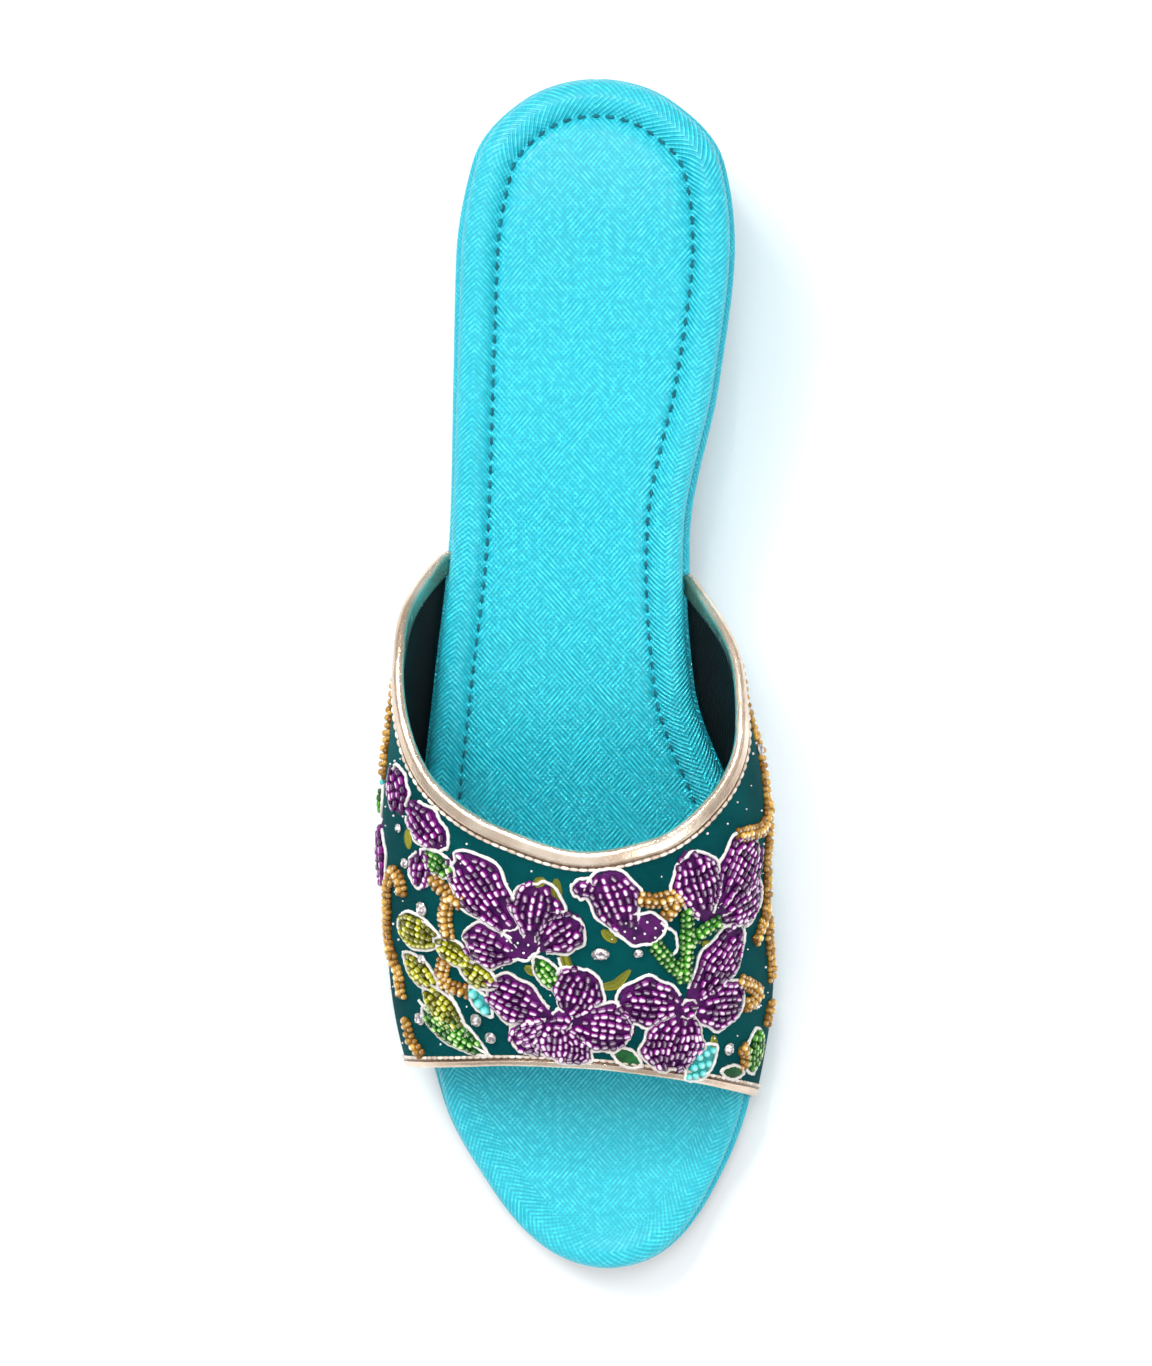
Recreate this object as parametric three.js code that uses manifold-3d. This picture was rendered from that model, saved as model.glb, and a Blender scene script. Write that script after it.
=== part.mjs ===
// Wedge mule for the right foot: a padded footbed on a covered wedge, under a wide beaded vamp.
// Millimetres, +Z up. The heel is towards +Y, the toe towards -Y, and +X is the inner side of the foot.
import * as THREE from "three";
import { mergeVertices } from "three/addons/utils/BufferGeometryUtils.js";
import Module from "manifold-3d";

const wasm = await Module();
wasm.setup();

// Last and sole
const footbedLength = 250;
const ballWidth = 72;
const heelHeight = 50; // top of the padded rim above the floor at the heel
const ballHeight = 13.5; // the same at the ball
const toeSpring = 4; // rise of the footbed's tip above the ball
const soleSpring = 5.5; // rise of the outsole's tip off the floor
const archLift = 3; // rise of the outsole off the floor under the waist
const outsoleThickness = 2.5;
const outsoleInset = 0.6; // how far the outsole stays inside the wedge
const outsoleEdgeRadius = 0.6;
const wedgeLedge = 1.3; // how far the wedge stands out beyond the footbed
const wedgeEdgeRadius = 1.1;
const wedgeLean = 0.07; // inward lean of the wedge's wall, per unit of its height

// Padded footbed
const footbedThickness = 6.6;
const rimWidth = 7.6; // padded roll, from the outer edge to the line of stitches
const rimCrown = 3; // height of the roll above its widest line
const grooveDepth = 1.6; // line of stitches, below the top of the roll
const panelDepth = 1; // middle panel, below the top of the roll
const panelBevel = 0.9;
const bottomTuck = 0.8; // the rim turns in under itself
const sewnTo = 0.69; // the sewn line fades out under the vamp, as shares of footbedLength from the heel end
const plainFrom = 0.79;

// Vamp
const vampWall = 1.5;
const skivedWall = 0.8; // the wall is pared down where a binding folds over it
const throatRise = 51.5; // top of the arch above the wedge at the throat
const vampStandoff = 1.5; // middle of the wall outside the footbed's edge, at its foot
const bulge = 5; // how far the wall swells outwards at the throat's height

// Bindings
const bindingLeather = 0.5;
const collarLeg = 3; // how far the binding reaches down the wall from the collar
const toeLeg = 1.2; // the same from the front edge
const skiveLength = 3.6;
const skiveRamp = 2;

// Beaded motifs
const beadRelief = 1.8;
const motifMargin = 0.4; // between a motif and a binding
const stemWidth = 2.3;
const chartRadius = 0.152 * footbedLength; // the chart is wrapped round the vamp on this radius
const chartRise = 7; // its axis above the wedge's top
const chartCentre = -0.02; // its axis to the side of the heel's, as a share of ballWidth

const facetTolerance = 0.13; // small facets of the motifs are merged within this distance
const seatGap = 0.3; // between pieces that are glued or sewn together

// Plan of the footbed's edge. along is a share of footbedLength from the heel end. centre and half are shares
// of ballWidth: the middle of the footbed from the heel's axis, and half its width there.
// outer and inner are the wedge's ledge on the two sides, as shares of wedgeLedge.
const planRows = [
  { along: 0, centre: 0, half: 0, outer: 0.7, inner: 0.7 },
  { along: 0.017, centre: 0, half: 0.204, outer: 0.8, inner: 0.7 },
  { along: 0.067, centre: 0.005, half: 0.349, outer: 1.05, inner: 0.75 },
  { along: 0.146, centre: -0.004, half: 0.387, outer: 1.1, inner: 0.8 },
  { along: 0.25, centre: -0.035, half: 0.371, outer: 0.9, inner: 0.85 },
  { along: 0.371, centre: -0.089, half: 0.337, outer: 0.7, inner: 1 },
  { along: 0.5, centre: -0.109, half: 0.374, outer: 1.4, inner: 1.6 },
  { along: 0.629, centre: -0.058, half: 0.474, outer: 1.6, inner: 1.6 },
  { along: 0.75, centre: -0.035, half: 0.5, outer: 1.4, inner: 1.5 },
  { along: 0.854, centre: -0.028, half: 0.4466, outer: 0.7, inner: 1.1 },
  { along: 0.933, centre: -0.009, half: 0.3225, outer: 0.4, inner: 0.9 },
  { along: 0.983, centre: 0.007, half: 0.1775, outer: 0.3, inner: 0.6 },
  { along: 1, centre: 0.017, half: 0, outer: 0.3, inner: 0.4 },
];

// Side view. rise: share of the climb from ball to heel. spring: share of the toe's rise.
// arch: share of archLift.
const profileRows = [
  { along: 0, rise: 1, spring: 0, arch: 0 },
  { along: 0.1, rise: 0.975, spring: 0, arch: 0 },
  { along: 0.2, rise: 0.91, spring: 0, arch: 0 },
  { along: 0.3, rise: 0.8, spring: 0, arch: 0 },
  { along: 0.4, rise: 0.64, spring: 0, arch: 0.7 },
  { along: 0.5, rise: 0.45, spring: 0, arch: 1 },
  { along: 0.6, rise: 0.25, spring: 0, arch: 0.5 },
  { along: 0.67, rise: 0.12, spring: 0, arch: 0 },
  { along: 0.73, rise: 0.03, spring: 0, arch: 0 },
  { along: 0.78, rise: 0, spring: 0, arch: 0 },
  { along: 0.84, rise: 0, spring: 0.1, arch: 0 },
  { along: 0.9, rise: 0, spring: 0.34, arch: 0 },
  { along: 0.95, rise: 0, spring: 0.64, arch: 0 },
  { along: 1, rise: 0, spring: 1, arch: 0 },
];

// Cross-sections of the vamp's arch. top: height above the wedge, as a share of throatRise.
// outer and inner: swell of each side, as shares of bulge. crest: the top's place, as a share of ballWidth.
const archRows = [
  { along: 0.36, top: 1.4, outer: 2.3, inner: 1, crest: -0.058 },
  { along: 0.42, top: 1.25, outer: 1.65, inner: 1.4, crest: -0.047 },
  { along: 0.48, top: 1.11, outer: 1.1, inner: 1.85, crest: -0.037 },
  { along: 0.54, top: 1.01, outer: 1.02, inner: 1.65, crest: -0.028 },
  { along: 0.6, top: 0.975, outer: 1.03, inner: 0.97, crest: -0.02 },
  { along: 0.667, top: 0.96, outer: 0.98, inner: 0.4, crest: -0.016 },
  { along: 0.75, top: 0.82, outer: 0.85, inner: 0.15, crest: -0.013 },
  { along: 0.82, top: 0.68, outer: 0.7, inner: 0.08, crest: -0.011 },
  { along: 0.88, top: 0.58, outer: 0.45, inner: 0.08, crest: -0.01 },
];

// Edges of the vamp. around runs over the arch from the outer side's foot, 0, to the inner side's foot, 1.
// collar and front are where the two cut edges cross it, as shares of footbedLength from the heel end.
const edgeRows = [
  { around: 0, collar: 0.395, front: 0.822 },
  { around: 0.1, collar: 0.453, front: 0.821 },
  { around: 0.2, collar: 0.525, front: 0.819 },
  { around: 0.3, collar: 0.586, front: 0.816 },
  { around: 0.4, collar: 0.623, front: 0.813 },
  { around: 0.5, collar: 0.642, front: 0.815 },
  { around: 0.6, collar: 0.631, front: 0.821 },
  { around: 0.7, collar: 0.592, front: 0.829 },
  { around: 0.8, collar: 0.526, front: 0.838 },
  { around: 0.9, collar: 0.462, front: 0.845 },
  { around: 1, collar: 0.414, front: 0.85 },
];

// Beaded motifs on a chart of the vamp. A place is [degrees round from the top, positive to the inner side;
// percent of footbedLength from the heel end]. A petal runs from its root to its tip: wide is its width as a
// share of its length, widest is where along it that lies, and curl bends its middle to one side. A stem is a
// line through a few places, with a thickness in stemWidths.
const motifs = [
  {
    name: "orchid_middle",
    beads: "purple",
    petals: [
      { root: [-15.4, 71.5], tip: [-35.4, 64.2], wide: 0.38, widest: 0.55, curl: 0 },
      { root: [-15.2, 71.5], tip: [-10.5, 66.9], wide: 0.8, widest: 0.55, curl: 0.04 },
      { root: [-15.2, 71.5], tip: [-2.4, 69.5], wide: 0.62, widest: 0.6, curl: -0.05 },
      { root: [-15.8, 71.5], tip: [-36.4, 70.9], wide: 0.52, widest: 0.6, curl: -0.08 },
      { root: [-16.8, 71.8], tip: [-28, 73.7], wide: 0.7, widest: 0.6, curl: 0 },
    ],
  },
  {
    name: "orchid_front",
    beads: "purple",
    petals: [
      { root: [-11.6, 77.6], tip: [-33.6, 75.1], wide: 0.72, widest: 0.55, curl: 0 },
      { root: [-9.4, 77.9], tip: [-0.6, 73.4], wide: 0.92, widest: 0.55, curl: -0.08 },
      { root: [-10.2, 77.6], tip: [15.8, 79.1], wide: 0.54, widest: 0.55, curl: 0.05 },
      { root: [-10, 77.5], tip: [-7, 80.9], wide: 0.9, widest: 0.6, curl: 0 },
      { root: [-11, 77.6], tip: [-27.5, 80.3], wide: 0.6, widest: 0.55, curl: 0 },
    ],
  },
  {
    name: "orchid_inner",
    beads: "purple",
    petals: [
      { root: [35, 77], tip: [9.9, 76.3], wide: 0.66, widest: 0.45, curl: 0.03 },
      { root: [34, 77.2], tip: [50, 70.8], wide: 0.5, widest: 0.45, curl: -0.02 },
      { root: [34, 77], tip: [57.2, 76.6], wide: 0.76, widest: 0.62, curl: 0 },
      { root: [34.4, 76.6], tip: [31, 82], wide: 1.04, widest: 0.6, curl: 0 },
    ],
  },
  {
    name: "orchid_funnel",
    beads: "purple",
    petals: [
      { root: [15.4, 71.4], tip: [6.6, 65.2], wide: 0.52, widest: 0.7, curl: 0 },
      { root: [7.4, 69.7], tip: [22.8, 70], wide: 0.6, widest: 0.5, curl: -0.05 },
      { root: [4, 66.2], tip: [-3, 66.7], wide: 0.85, widest: 0.5, curl: 0 },
    ],
  },
  {
    name: "orchid_bud",
    beads: "purple",
    petals: [
      { root: [35.6, 69.4], tip: [31.6, 63.7], wide: 0.74, widest: 0.5, curl: 0 },
      { root: [38, 69], tip: [60.4, 63.5], wide: 0.66, widest: 0.55, curl: 0 },
    ],
  },
  {
    name: "orchid_outer",
    beads: "purple",
    petals: [
      { root: [-53, 61.8], tip: [-62.8, 56.6], wide: 0.66, widest: 0.5, curl: 0 },
      { root: [-56, 60.4], tip: [-39.8, 63.2], wide: 0.5, widest: 0.5, curl: -0.06 },
      { root: [-52.6, 61.6], tip: [-46.4, 66.8], wide: 0.55, widest: 0.55, curl: 0 },
    ],
  },
  {
    name: "orchid_edge",
    beads: "purple",
    petals: [
      { root: [-78, 61.2], tip: [-78.6, 67.6], wide: 0.58, widest: 0.5, curl: 0.12 },
      { root: [-77, 61.4], tip: [-74, 67.4], wide: 0.5, widest: 0.5, curl: -0.12 },
    ],
  },
  {
    name: "leaf_olive_long",
    beads: "olive",
    petals: [
      { root: [-62.4, 71], tip: [-43, 71.6], wide: 0.42, widest: 0.35, curl: 0.06 },
      { root: [-49, 70.8], tip: [-31, 75], wide: 0.3, widest: 0.55, curl: 0.02 },
    ],
  },
  {
    name: "leaf_olive_short",
    beads: "olive",
    petals: [
      { root: [-61.8, 72.6], tip: [-46, 79], wide: 0.27, widest: 0.55, curl: -0.06 },
    ],
  },
  {
    name: "leaf_green",
    beads: "green",
    petals: [
      { root: [-58, 77.4], tip: [-38.6, 80.5], wide: 0.3, widest: 0.4, curl: -0.1 },
    ],
  },
  {
    name: "leaf_small",
    beads: "green",
    petals: [
      { root: [-47, 63.8], tip: [-37.4, 65.9], wide: 0.46, widest: 0.5, curl: 0 },
    ],
  },
  {
    name: "leaf_inner",
    beads: "green",
    petals: [
      { root: [72, 79], tip: [75.4, 82.9], wide: 0.56, widest: 0.5, curl: 0 },
    ],
  },
  {
    name: "sprig",
    beads: "green",
    stems: [
      [[28.8, 68.9], [30.2, 71.2], [31.6, 74.1]],
      [[20.7, 71.4], [25.2, 72.8], [30.8, 73.6]],
      [[30.3, 71.4], [36, 70.3], [40.2, 69.6]],
    ],
  },
  {
    name: "pearl_patch",
    beads: "aqua",
    petals: [
      { root: [40.6, 82.4], tip: [51.6, 80.6], wide: 0.6, widest: 0.5, curl: 0 },
    ],
  },
  {
    name: "twig_collar",
    beads: "amber",
    stems: [
      [[15, 67.4], [19.5, 67.6], [25.6, 67.1]],
      [[24.6, 67.4], [23, 68.1], [21.4, 68.7]],
    ],
  },
  {
    name: "twig_short",
    beads: "amber",
    stems: [
      [[-43, 66.1], [-38.8, 67.1], [-35.6, 67.7]],
      [[-40.6, 66.9], [-41.8, 69.2], [-42.2, 70.4]],
    ],
  },
  {
    name: "twig_low",
    beads: "amber",
    stems: [
      [[-46, 73], [-46.7, 73.9], [-48.9, 74.8]],
      [[-48.4, 74.7], [-44.1, 75], [-41, 75.2]],
    ],
  },
  {
    name: "twig_tip",
    beads: "amber",
    stems: [
      [[56, 74.7], [61.6, 75.3], [68, 76]],
      [[67.4, 76], [63.1, 76.7], [60, 76.9]],
    ],
  },
  {
    name: "twig_outer",
    beads: "amber",
    stems: [
      [[-64, 65.4], [-66.5, 67], [-68.5, 69], [-70, 71], [-69.5, 72.8], [-66.5, 74.2], [-66, 76]],
      [[-66.5, 67], [-60.5, 67.4]],
    ],
    thickness: 1.4,
  },
  {
    name: "twig_outer_high",
    beads: "amber",
    stems: [[[-87, 45.2], [-83, 47], [-80, 49.4], [-77.5, 52], [-76, 55], [-75.5, 58]]],
  },
  {
    name: "twig_inner",
    beads: "amber",
    stems: [
      [[76, 48.6], [74.5, 51], [73, 54], [71.5, 57], [69.5, 60], [64, 62], [55, 62.2], [46, 62.4]],
      [[69.5, 60], [69, 63], [69.5, 66], [68.5, 68.6], [65, 70.3], [60.5, 71.6]],
      [[68.5, 68.6], [72, 71], [76, 73]],
    ],
  },
];

// A smooth curve through one column of a table, level where the column turns round.
function read(rows, key, at, column, warp = (x) => x) {
  const x = warp(THREE.MathUtils.clamp(at, rows[0][key], rows.at(-1)[key]));
  const xs = rows.map((row) => warp(row[key]));
  const ys = rows.map((row) => row[column]);
  const slopes = xs.slice(1).map((next, i) => (ys[i + 1] - ys[i]) / (next - xs[i]));
  const tangent = (i) => {
    if (i === 0) return slopes[0];
    if (i === xs.length - 1) return slopes.at(-1);
    const before = slopes[i - 1];
    const after = slopes[i];
    return before * after <= 0 ? 0 : (2 * before * after) / (before + after);
  };
  let i = xs.findIndex((next, k) => k > 0 && x <= next) - 1;
  if (i < 0) i = 0;
  const width = xs[i + 1] - xs[i];
  const u = (x - xs[i]) / width;
  const ease = u * u * (3 - 2 * u);
  const bend = u * (1 - u) * width * ((1 - u) * tangent(i) - u * tangent(i + 1));
  return ys[i] + (ys[i + 1] - ys[i]) * ease + bend;
}

const heelEnd = footbedLength / 2;
const alongOf = (y) => (heelEnd - y) / footbedLength;
const sweepAngle = (along) => Math.acos(1 - 2 * along);
const plan = (column, along) => read(planRows, "along", along, column, sweepAngle);
const profile = (column, along) => read(profileRows, "along", along, column);

// Heights of the layers, from the floor up, at a place along the shoe.
const rimTop = (y) => {
  const along = alongOf(y);
  const climb = (heelHeight - ballHeight) * profile("rise", along);
  return ballHeight + climb + toeSpring * profile("spring", along);
};
const footbedBottom = (y) => rimTop(y) - footbedThickness;
const wedgeTop = (y) => footbedBottom(y) - seatGap;
const floorSide = (y) => {
  const along = alongOf(y);
  return archLift * profile("arch", along) + soleSpring * profile("spring", along);
};
const outsoleTop = (y) => floorSide(y) + outsoleThickness;
const wedgeBottom = (y) => outsoleTop(y) + seatGap;

// The height of a place inside the rim's crest: the toe is plain, and level with the crest.
const insideCrest = (height) => (y) => {
  const sewn = THREE.MathUtils.smoothstep(plainFrom - alongOf(y), 0, plainFrom - sewnTo);
  return THREE.MathUtils.lerp(rimTop(y), height(y), sewn);
};

// The footbed's edge as a closed loop: turn 0 is the heel end, 0 to 1 the inner side, 1 the toe, 1 to 2 the
// outer side.
function edgePoint(turn) {
  const wrapped = ((turn % 2) + 2) % 2;
  const inner = wrapped <= 1;
  const sweep = Math.PI * (inner ? wrapped : 2 - wrapped);
  const along = (1 - Math.cos(sweep)) / 2;
  const half = plan("half", along) * (inner ? 1 : -1);
  const x = ballWidth * (plan("centre", along) + half);
  return new THREE.Vector2(x, heelEnd - along * footbedLength);
}

// The same loop moved outwards, square to itself.
function offsetEdge(turn, outwards) {
  const step = 0.004;
  const ahead = edgePoint(turn + step);
  const behind = edgePoint(turn - step);
  const along = ahead.sub(behind).normalize();
  return edgePoint(turn).add(new THREE.Vector2(-along.y, along.x).multiplyScalar(outwards));
}

// Width of the ledge at a place on the loop.
function ledgeAt(turn) {
  const inner = turn <= 1;
  const along = (1 - Math.cos(Math.PI * (inner ? turn : 2 - turn))) / 2;
  return wedgeLedge * plan(inner ? "inner" : "outer", along);
}

const sideSteps = 28;
const loopSteps = 2 * sideSteps;

// A solid of revolution-like rings round the sole, each given as a function of turn that returns a point.
// The first ring is closed underneath and the last on top by rungs from side to side.
function layeredSole(rings) {
  const points = [];
  const faces = [];
  rings.forEach((ring) => {
    for (let i = 0; i < loopSteps; i++) points.push(ring((2 * i) / loopSteps));
  });
  const at = (ring, i) => ring * loopSteps + ((i + loopSteps) % loopSteps);
  for (let ring = 0; ring + 1 < rings.length; ring++)
    for (let i = 0; i < loopSteps; i++) {
      faces.push(at(ring, i), at(ring + 1, i + 1), at(ring, i + 1));
      faces.push(at(ring, i), at(ring + 1, i), at(ring + 1, i + 1));
    }
  const top = rings.length - 1;
  for (let i = 0; i < sideSteps; i++) {
    const rungs = [i, i + 1, -i - 1, -i];
    const [a, b, c, d] = rungs.map((k) => at(0, k));
    const [e, f, g, h] = rungs.map((k) => at(top, k));
    if (i > 0) {
      faces.push(a, b, d);
      faces.push(e, h, f);
    }
    if (i < sideSteps - 1) {
      faces.push(b, c, d);
      faces.push(f, h, g);
    }
  }
  return solidFrom(points, faces);
}

function solidFrom(points, faces) {
  const geometry = new THREE.BufferGeometry();
  geometry.setAttribute("position", new THREE.Float32BufferAttribute(points.flatMap((p) => [p.x, p.y, p.z]), 3));
  geometry.setIndex(faces);
  return geometry;
}

const toManifold = (geometry) => {
  const bare = geometry.clone();
  bare.deleteAttribute("normal");
  bare.deleteAttribute("uv");
  const merged = mergeVertices(bare, 1e-4);
  const vertProperties = merged.attributes.position.array;
  const triVerts = new Uint32Array(merged.index.array);
  return new wasm.Manifold(new wasm.Mesh({ numProp: 3, vertProperties, triVerts }));
};

const toGeometry = (manifold) => {
  const mesh = manifold.getMesh();
  const geometry = new THREE.BufferGeometry();
  geometry.setAttribute("position", new THREE.BufferAttribute(mesh.vertProperties, 3));
  geometry.setIndex(new THREE.BufferAttribute(mesh.triVerts, 1));
  return geometry;
};

// One ring: the footbed's edge moved outwards, at a height that depends on the place along the shoe.
const ringAt = (outwards, height) => (turn) => {
  const { x, y } = offsetEdge(turn, typeof outwards === "function" ? outwards(turn) : outwards);
  return new THREE.Vector3(x, y, height(y));
};

function makeFootbed() {
  const widest = footbedThickness - rimCrown;
  const rings = [
    ringAt(-bottomTuck, footbedBottom),
    ringAt(-bottomTuck / 4, (y) => footbedBottom(y) + widest / 3),
  ];
  const halfRoll = rimWidth / 2;
  const rollSteps = 6;
  const rollEnd = THREE.MathUtils.degToRad(150);
  for (let i = 0; i <= rollSteps; i++) {
    const angle = (rollEnd * i) / rollSteps;
    const outwards = halfRoll * (Math.cos(angle) - 1);
    const roll = (y) => footbedBottom(y) + widest + rimCrown * Math.sin(angle);
    rings.push(ringAt(outwards, angle > Math.PI / 2 ? insideCrest(roll) : roll));
  }
  rings.push(ringAt(-rimWidth, insideCrest((y) => rimTop(y) - grooveDepth)));
  rings.push(ringAt(-rimWidth - panelBevel, insideCrest((y) => rimTop(y) - panelDepth)));
  return layeredSole(rings);
}

// The wedge's wall at a height between its bottom and top, which leans inwards as it goes down.
const wallRing = (share, pullIn, drop) => (turn) => {
  const edge = edgePoint(turn);
  const tall = wedgeTop(edge.y) - wedgeBottom(edge.y);
  const outwards = ledgeAt(turn) - pullIn - wedgeLean * tall * (1 - share);
  const { x, y } = offsetEdge(turn, outwards);
  return new THREE.Vector3(x, y, THREE.MathUtils.lerp(wedgeBottom(y), wedgeTop(y), share) - drop);
};

function makeWedge() {
  const rings = [wallRing(0, 0, 0), wallRing(0.35, 0, 0), wallRing(0.7, 0, 0)];
  const edgeSteps = 3;
  for (let i = 0; i <= edgeSteps; i++) {
    const angle = (Math.PI / 2) * (i / edgeSteps);
    const pullIn = wedgeEdgeRadius * (1 - Math.cos(angle));
    rings.push(wallRing(1, pullIn, wedgeEdgeRadius * (1 - Math.sin(angle))));
  }
  return layeredSole(rings);
}

function makeOutsole() {
  const under = (turn, pullIn, height) => {
    const bottom = wallRing(0, outsoleInset + pullIn, 0)(turn);
    return bottom.setZ(height(bottom.y));
  };
  return layeredSole([
    (turn) => under(turn, outsoleEdgeRadius, floorSide),
    (turn) => under(turn, 0, (y) => floorSide(y) + outsoleEdgeRadius),
    (turn) => under(turn, 0, outsoleTop),
  ]);
}

// Middle of the vamp's wall, where around is 0 at the outer side's foot and 1 at the inner side's.
function archPoint(along, around) {
  const y = heelEnd - along * footbedLength;
  const arch = (column) => read(archRows, "along", along, column);
  const outer = around < 0.5;
  const side = outer ? -1 : 1;
  const crest = ballWidth * arch("crest");
  const centre = ballWidth * plan("centre", along);
  const foot = centre + side * (ballWidth * plan("half", along) + vampStandoff);
  const toFoot = Math.abs(foot - crest);
  const reach = toFoot + bulge * arch(outer ? "outer" : "inner");
  const tuck = Math.acos(toFoot / reach);
  const rise = throatRise * arch("top");
  const radius = rise / (1 + Math.sin(tuck));
  const base = wedgeTop(y) + seatGap;
  const share = 2 * (outer ? around : 1 - around);
  const angle = -tuck + share * (Math.PI / 2 + tuck);
  const z = base + radius * (Math.sin(tuck) + Math.sin(angle));
  return new THREE.Vector3(crest + side * reach * Math.cos(angle), y, z);
}

// The same wall with its own coordinates: across is 0 at the front edge and 1 at the collar.
function vampPoint(around, across) {
  const front = read(edgeRows, "around", around, "front");
  const collar = read(edgeRows, "around", around, "collar");
  return archPoint(THREE.MathUtils.lerp(front, collar, across), around);
}

const vampRowsAround = 36;
const vampRowsAcross = 8;
const nudge = 1e-3;
const evenRows = (count) => [...Array(count + 1).keys()].map((i) => i / count);

// Directions on the wall: over the arch, outwards, and the step along the shoe for one unit of across.
function vampDirections(around, across) {
  const low = Math.max(around - nudge, 0);
  const high = Math.min(around + nudge, 1);
  const over = vampPoint(high, across).sub(vampPoint(low, across)).normalize();
  const back = vampPoint(around, across + nudge).sub(vampPoint(around, across - nudge));
  back.divideScalar(2 * nudge);
  const outwards = over.clone().cross(back).normalize();
  return { over, back, outwards };
}

// A point off the middle of the wall. At its two feet the wall is cut level with the wedge.
function offVamp(around, across, distance) {
  const { outwards } = vampDirections(around, across);
  if (around === 0 || around === 1) outwards.setZ(0).normalize();
  return vampPoint(around, across).addScaledVector(outwards, distance);
}

// The share of across that lies within a distance of one cut edge, measured square to that edge.
function marginAt(around, edge, distance) {
  const { over, back } = vampDirections(around, edge);
  return distance / over.cross(back).length();
}

// Places between the front edge and the collar that keep their distances from the two.
function rowsBetween(around, fromFront, fromCollar, count) {
  const low = marginAt(around, 0, fromFront);
  const high = 1 - marginAt(around, 1, fromCollar);
  return evenRows(count).map((share) => THREE.MathUtils.lerp(low, high, share));
}

// A curved slab over the rows given. low and high are its two faces' distances from the middle of the wall.
function vampSlab(aroundRows, acrossRows, low, high) {
  const columns = aroundRows.map((around) => acrossRows(around));
  const count = columns[0].length;
  const layer = aroundRows.length * count;
  const points = [low, high].flatMap((distance) =>
    aroundRows.flatMap((around, i) =>
      columns[i].map((across, j) => offVamp(around, across, distance(j, count))),
    ),
  );
  const at = (side, i, j) => side * layer + i * count + j;
  const faces = [];
  const quad = (a, b, c, d) => faces.push(a, b, c, a, c, d);
  const lastRow = aroundRows.length - 1;
  const lastColumn = count - 1;
  for (let i = 0; i < lastRow; i++) {
    for (let j = 0; j < lastColumn; j++) {
      quad(at(1, i, j), at(1, i + 1, j), at(1, i + 1, j + 1), at(1, i, j + 1));
      quad(at(0, i, j), at(0, i, j + 1), at(0, i + 1, j + 1), at(0, i + 1, j));
    }
    quad(at(0, i, 0), at(0, i + 1, 0), at(1, i + 1, 0), at(1, i, 0));
    quad(at(0, i, lastColumn), at(1, i, lastColumn), at(1, i + 1, lastColumn), at(0, i + 1, lastColumn));
  }
  for (let j = 0; j < lastColumn; j++) {
    quad(at(0, 0, j), at(1, 0, j), at(1, 0, j + 1), at(0, 0, j + 1));
    quad(at(0, lastRow, j), at(0, lastRow, j + 1), at(1, lastRow, j + 1), at(1, lastRow, j));
  }
  return solidFrom(points, faces);
}

function makeUpper() {
  const acrossRows = (around) => [
    0,
    marginAt(around, 0, skiveLength),
    ...rowsBetween(around, skiveLength + skiveRamp, skiveLength + skiveRamp, vampRowsAcross),
    1 - marginAt(around, 1, skiveLength),
    1,
  ];
  const outside = (j, count) => (j < 2 || j > count - 3 ? skivedWall : vampWall) / 2;
  const inside = (j, count) => -outside(j, count);
  return vampSlab(evenRows(vampRowsAround), acrossRows, inside, outside);
}

// Everything above the wedge's top, for trimming what stands on it.
function aboveWedge(gap) {
  const reach = bulge * 4;
  const low = ringAt(reach, (y) => wedgeTop(y) + gap);
  const high = ringAt(reach, () => heelHeight + 2 * throatRise);
  return toManifold(layeredSole([low, high]));
}

// A leather strip folded over one cut edge of the vamp. Its ends run down past the wedge's top and are cut there.
function makeBinding(edge, facing, leg) {
  const inner = skivedWall / 2 + seatGap;
  const outer = inner + bindingLeather;
  const foldSteps = 3;
  const section = [new THREE.Vector2(outer, -leg)];
  for (let i = 0; i <= foldSteps; i++) {
    const angle = (Math.PI * i) / foldSteps;
    section.push(new THREE.Vector2(outer * Math.cos(angle), seatGap + outer * Math.sin(angle)));
  }
  section.push(new THREE.Vector2(-outer, -leg), new THREE.Vector2(-inner, -leg));
  section.push(new THREE.Vector2(-inner, seatGap), new THREE.Vector2(inner, seatGap));
  section.push(new THREE.Vector2(inner, -leg));
  const overrun = 3 * leg;
  const places = [-1, ...evenRows(vampRowsAround), 2];
  const points = places.flatMap((place) => {
    const around = THREE.MathUtils.clamp(place, 0, 1);
    const { over, outwards } = vampDirections(around, edge);
    const away = outwards.clone().cross(over).multiplyScalar(facing);
    const origin = vampPoint(around, edge).addScaledVector(over, Math.sign(place - around) * overrun);
    return section.map(({ x, y }) => origin.clone().addScaledVector(outwards, x).addScaledVector(away, y));
  });
  const ring = section.length;
  const faces = [];
  for (let i = 0; i + 1 < places.length; i++)
    for (let j = 0; j < ring; j++) {
      const [a, b] = [i * ring + j, i * ring + ((j + 1) % ring)];
      faces.push(a, b, b + ring, a, b + ring, a + ring);
    }
  const end = (places.length - 1) * ring;
  THREE.ShapeUtils.triangulateShape(section, []).forEach(([a, b, c]) => {
    faces.push(a, c, b);
    faces.push(end + a, end + b, end + c);
  });
  if (facing > 0) faces.reverse();
  const strip = toManifold(solidFrom(points, faces));
  return toGeometry(strip.intersect(aboveWedge(seatGap)));
}

// The part of the vamp's outside that can carry beads, as a slab a stitch's thickness off the wall.
function makeBeadSlab() {
  const around = evenRows(vampRowsAround).slice(1, -1);
  const acrossRows = (place) => rowsBetween(place, toeLeg + motifMargin, collarLeg + motifMargin, vampRowsAcross);
  const low = vampWall / 2 + seatGap;
  return toManifold(vampSlab(around, acrossRows, () => low, () => low + beadRelief));
}

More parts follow.
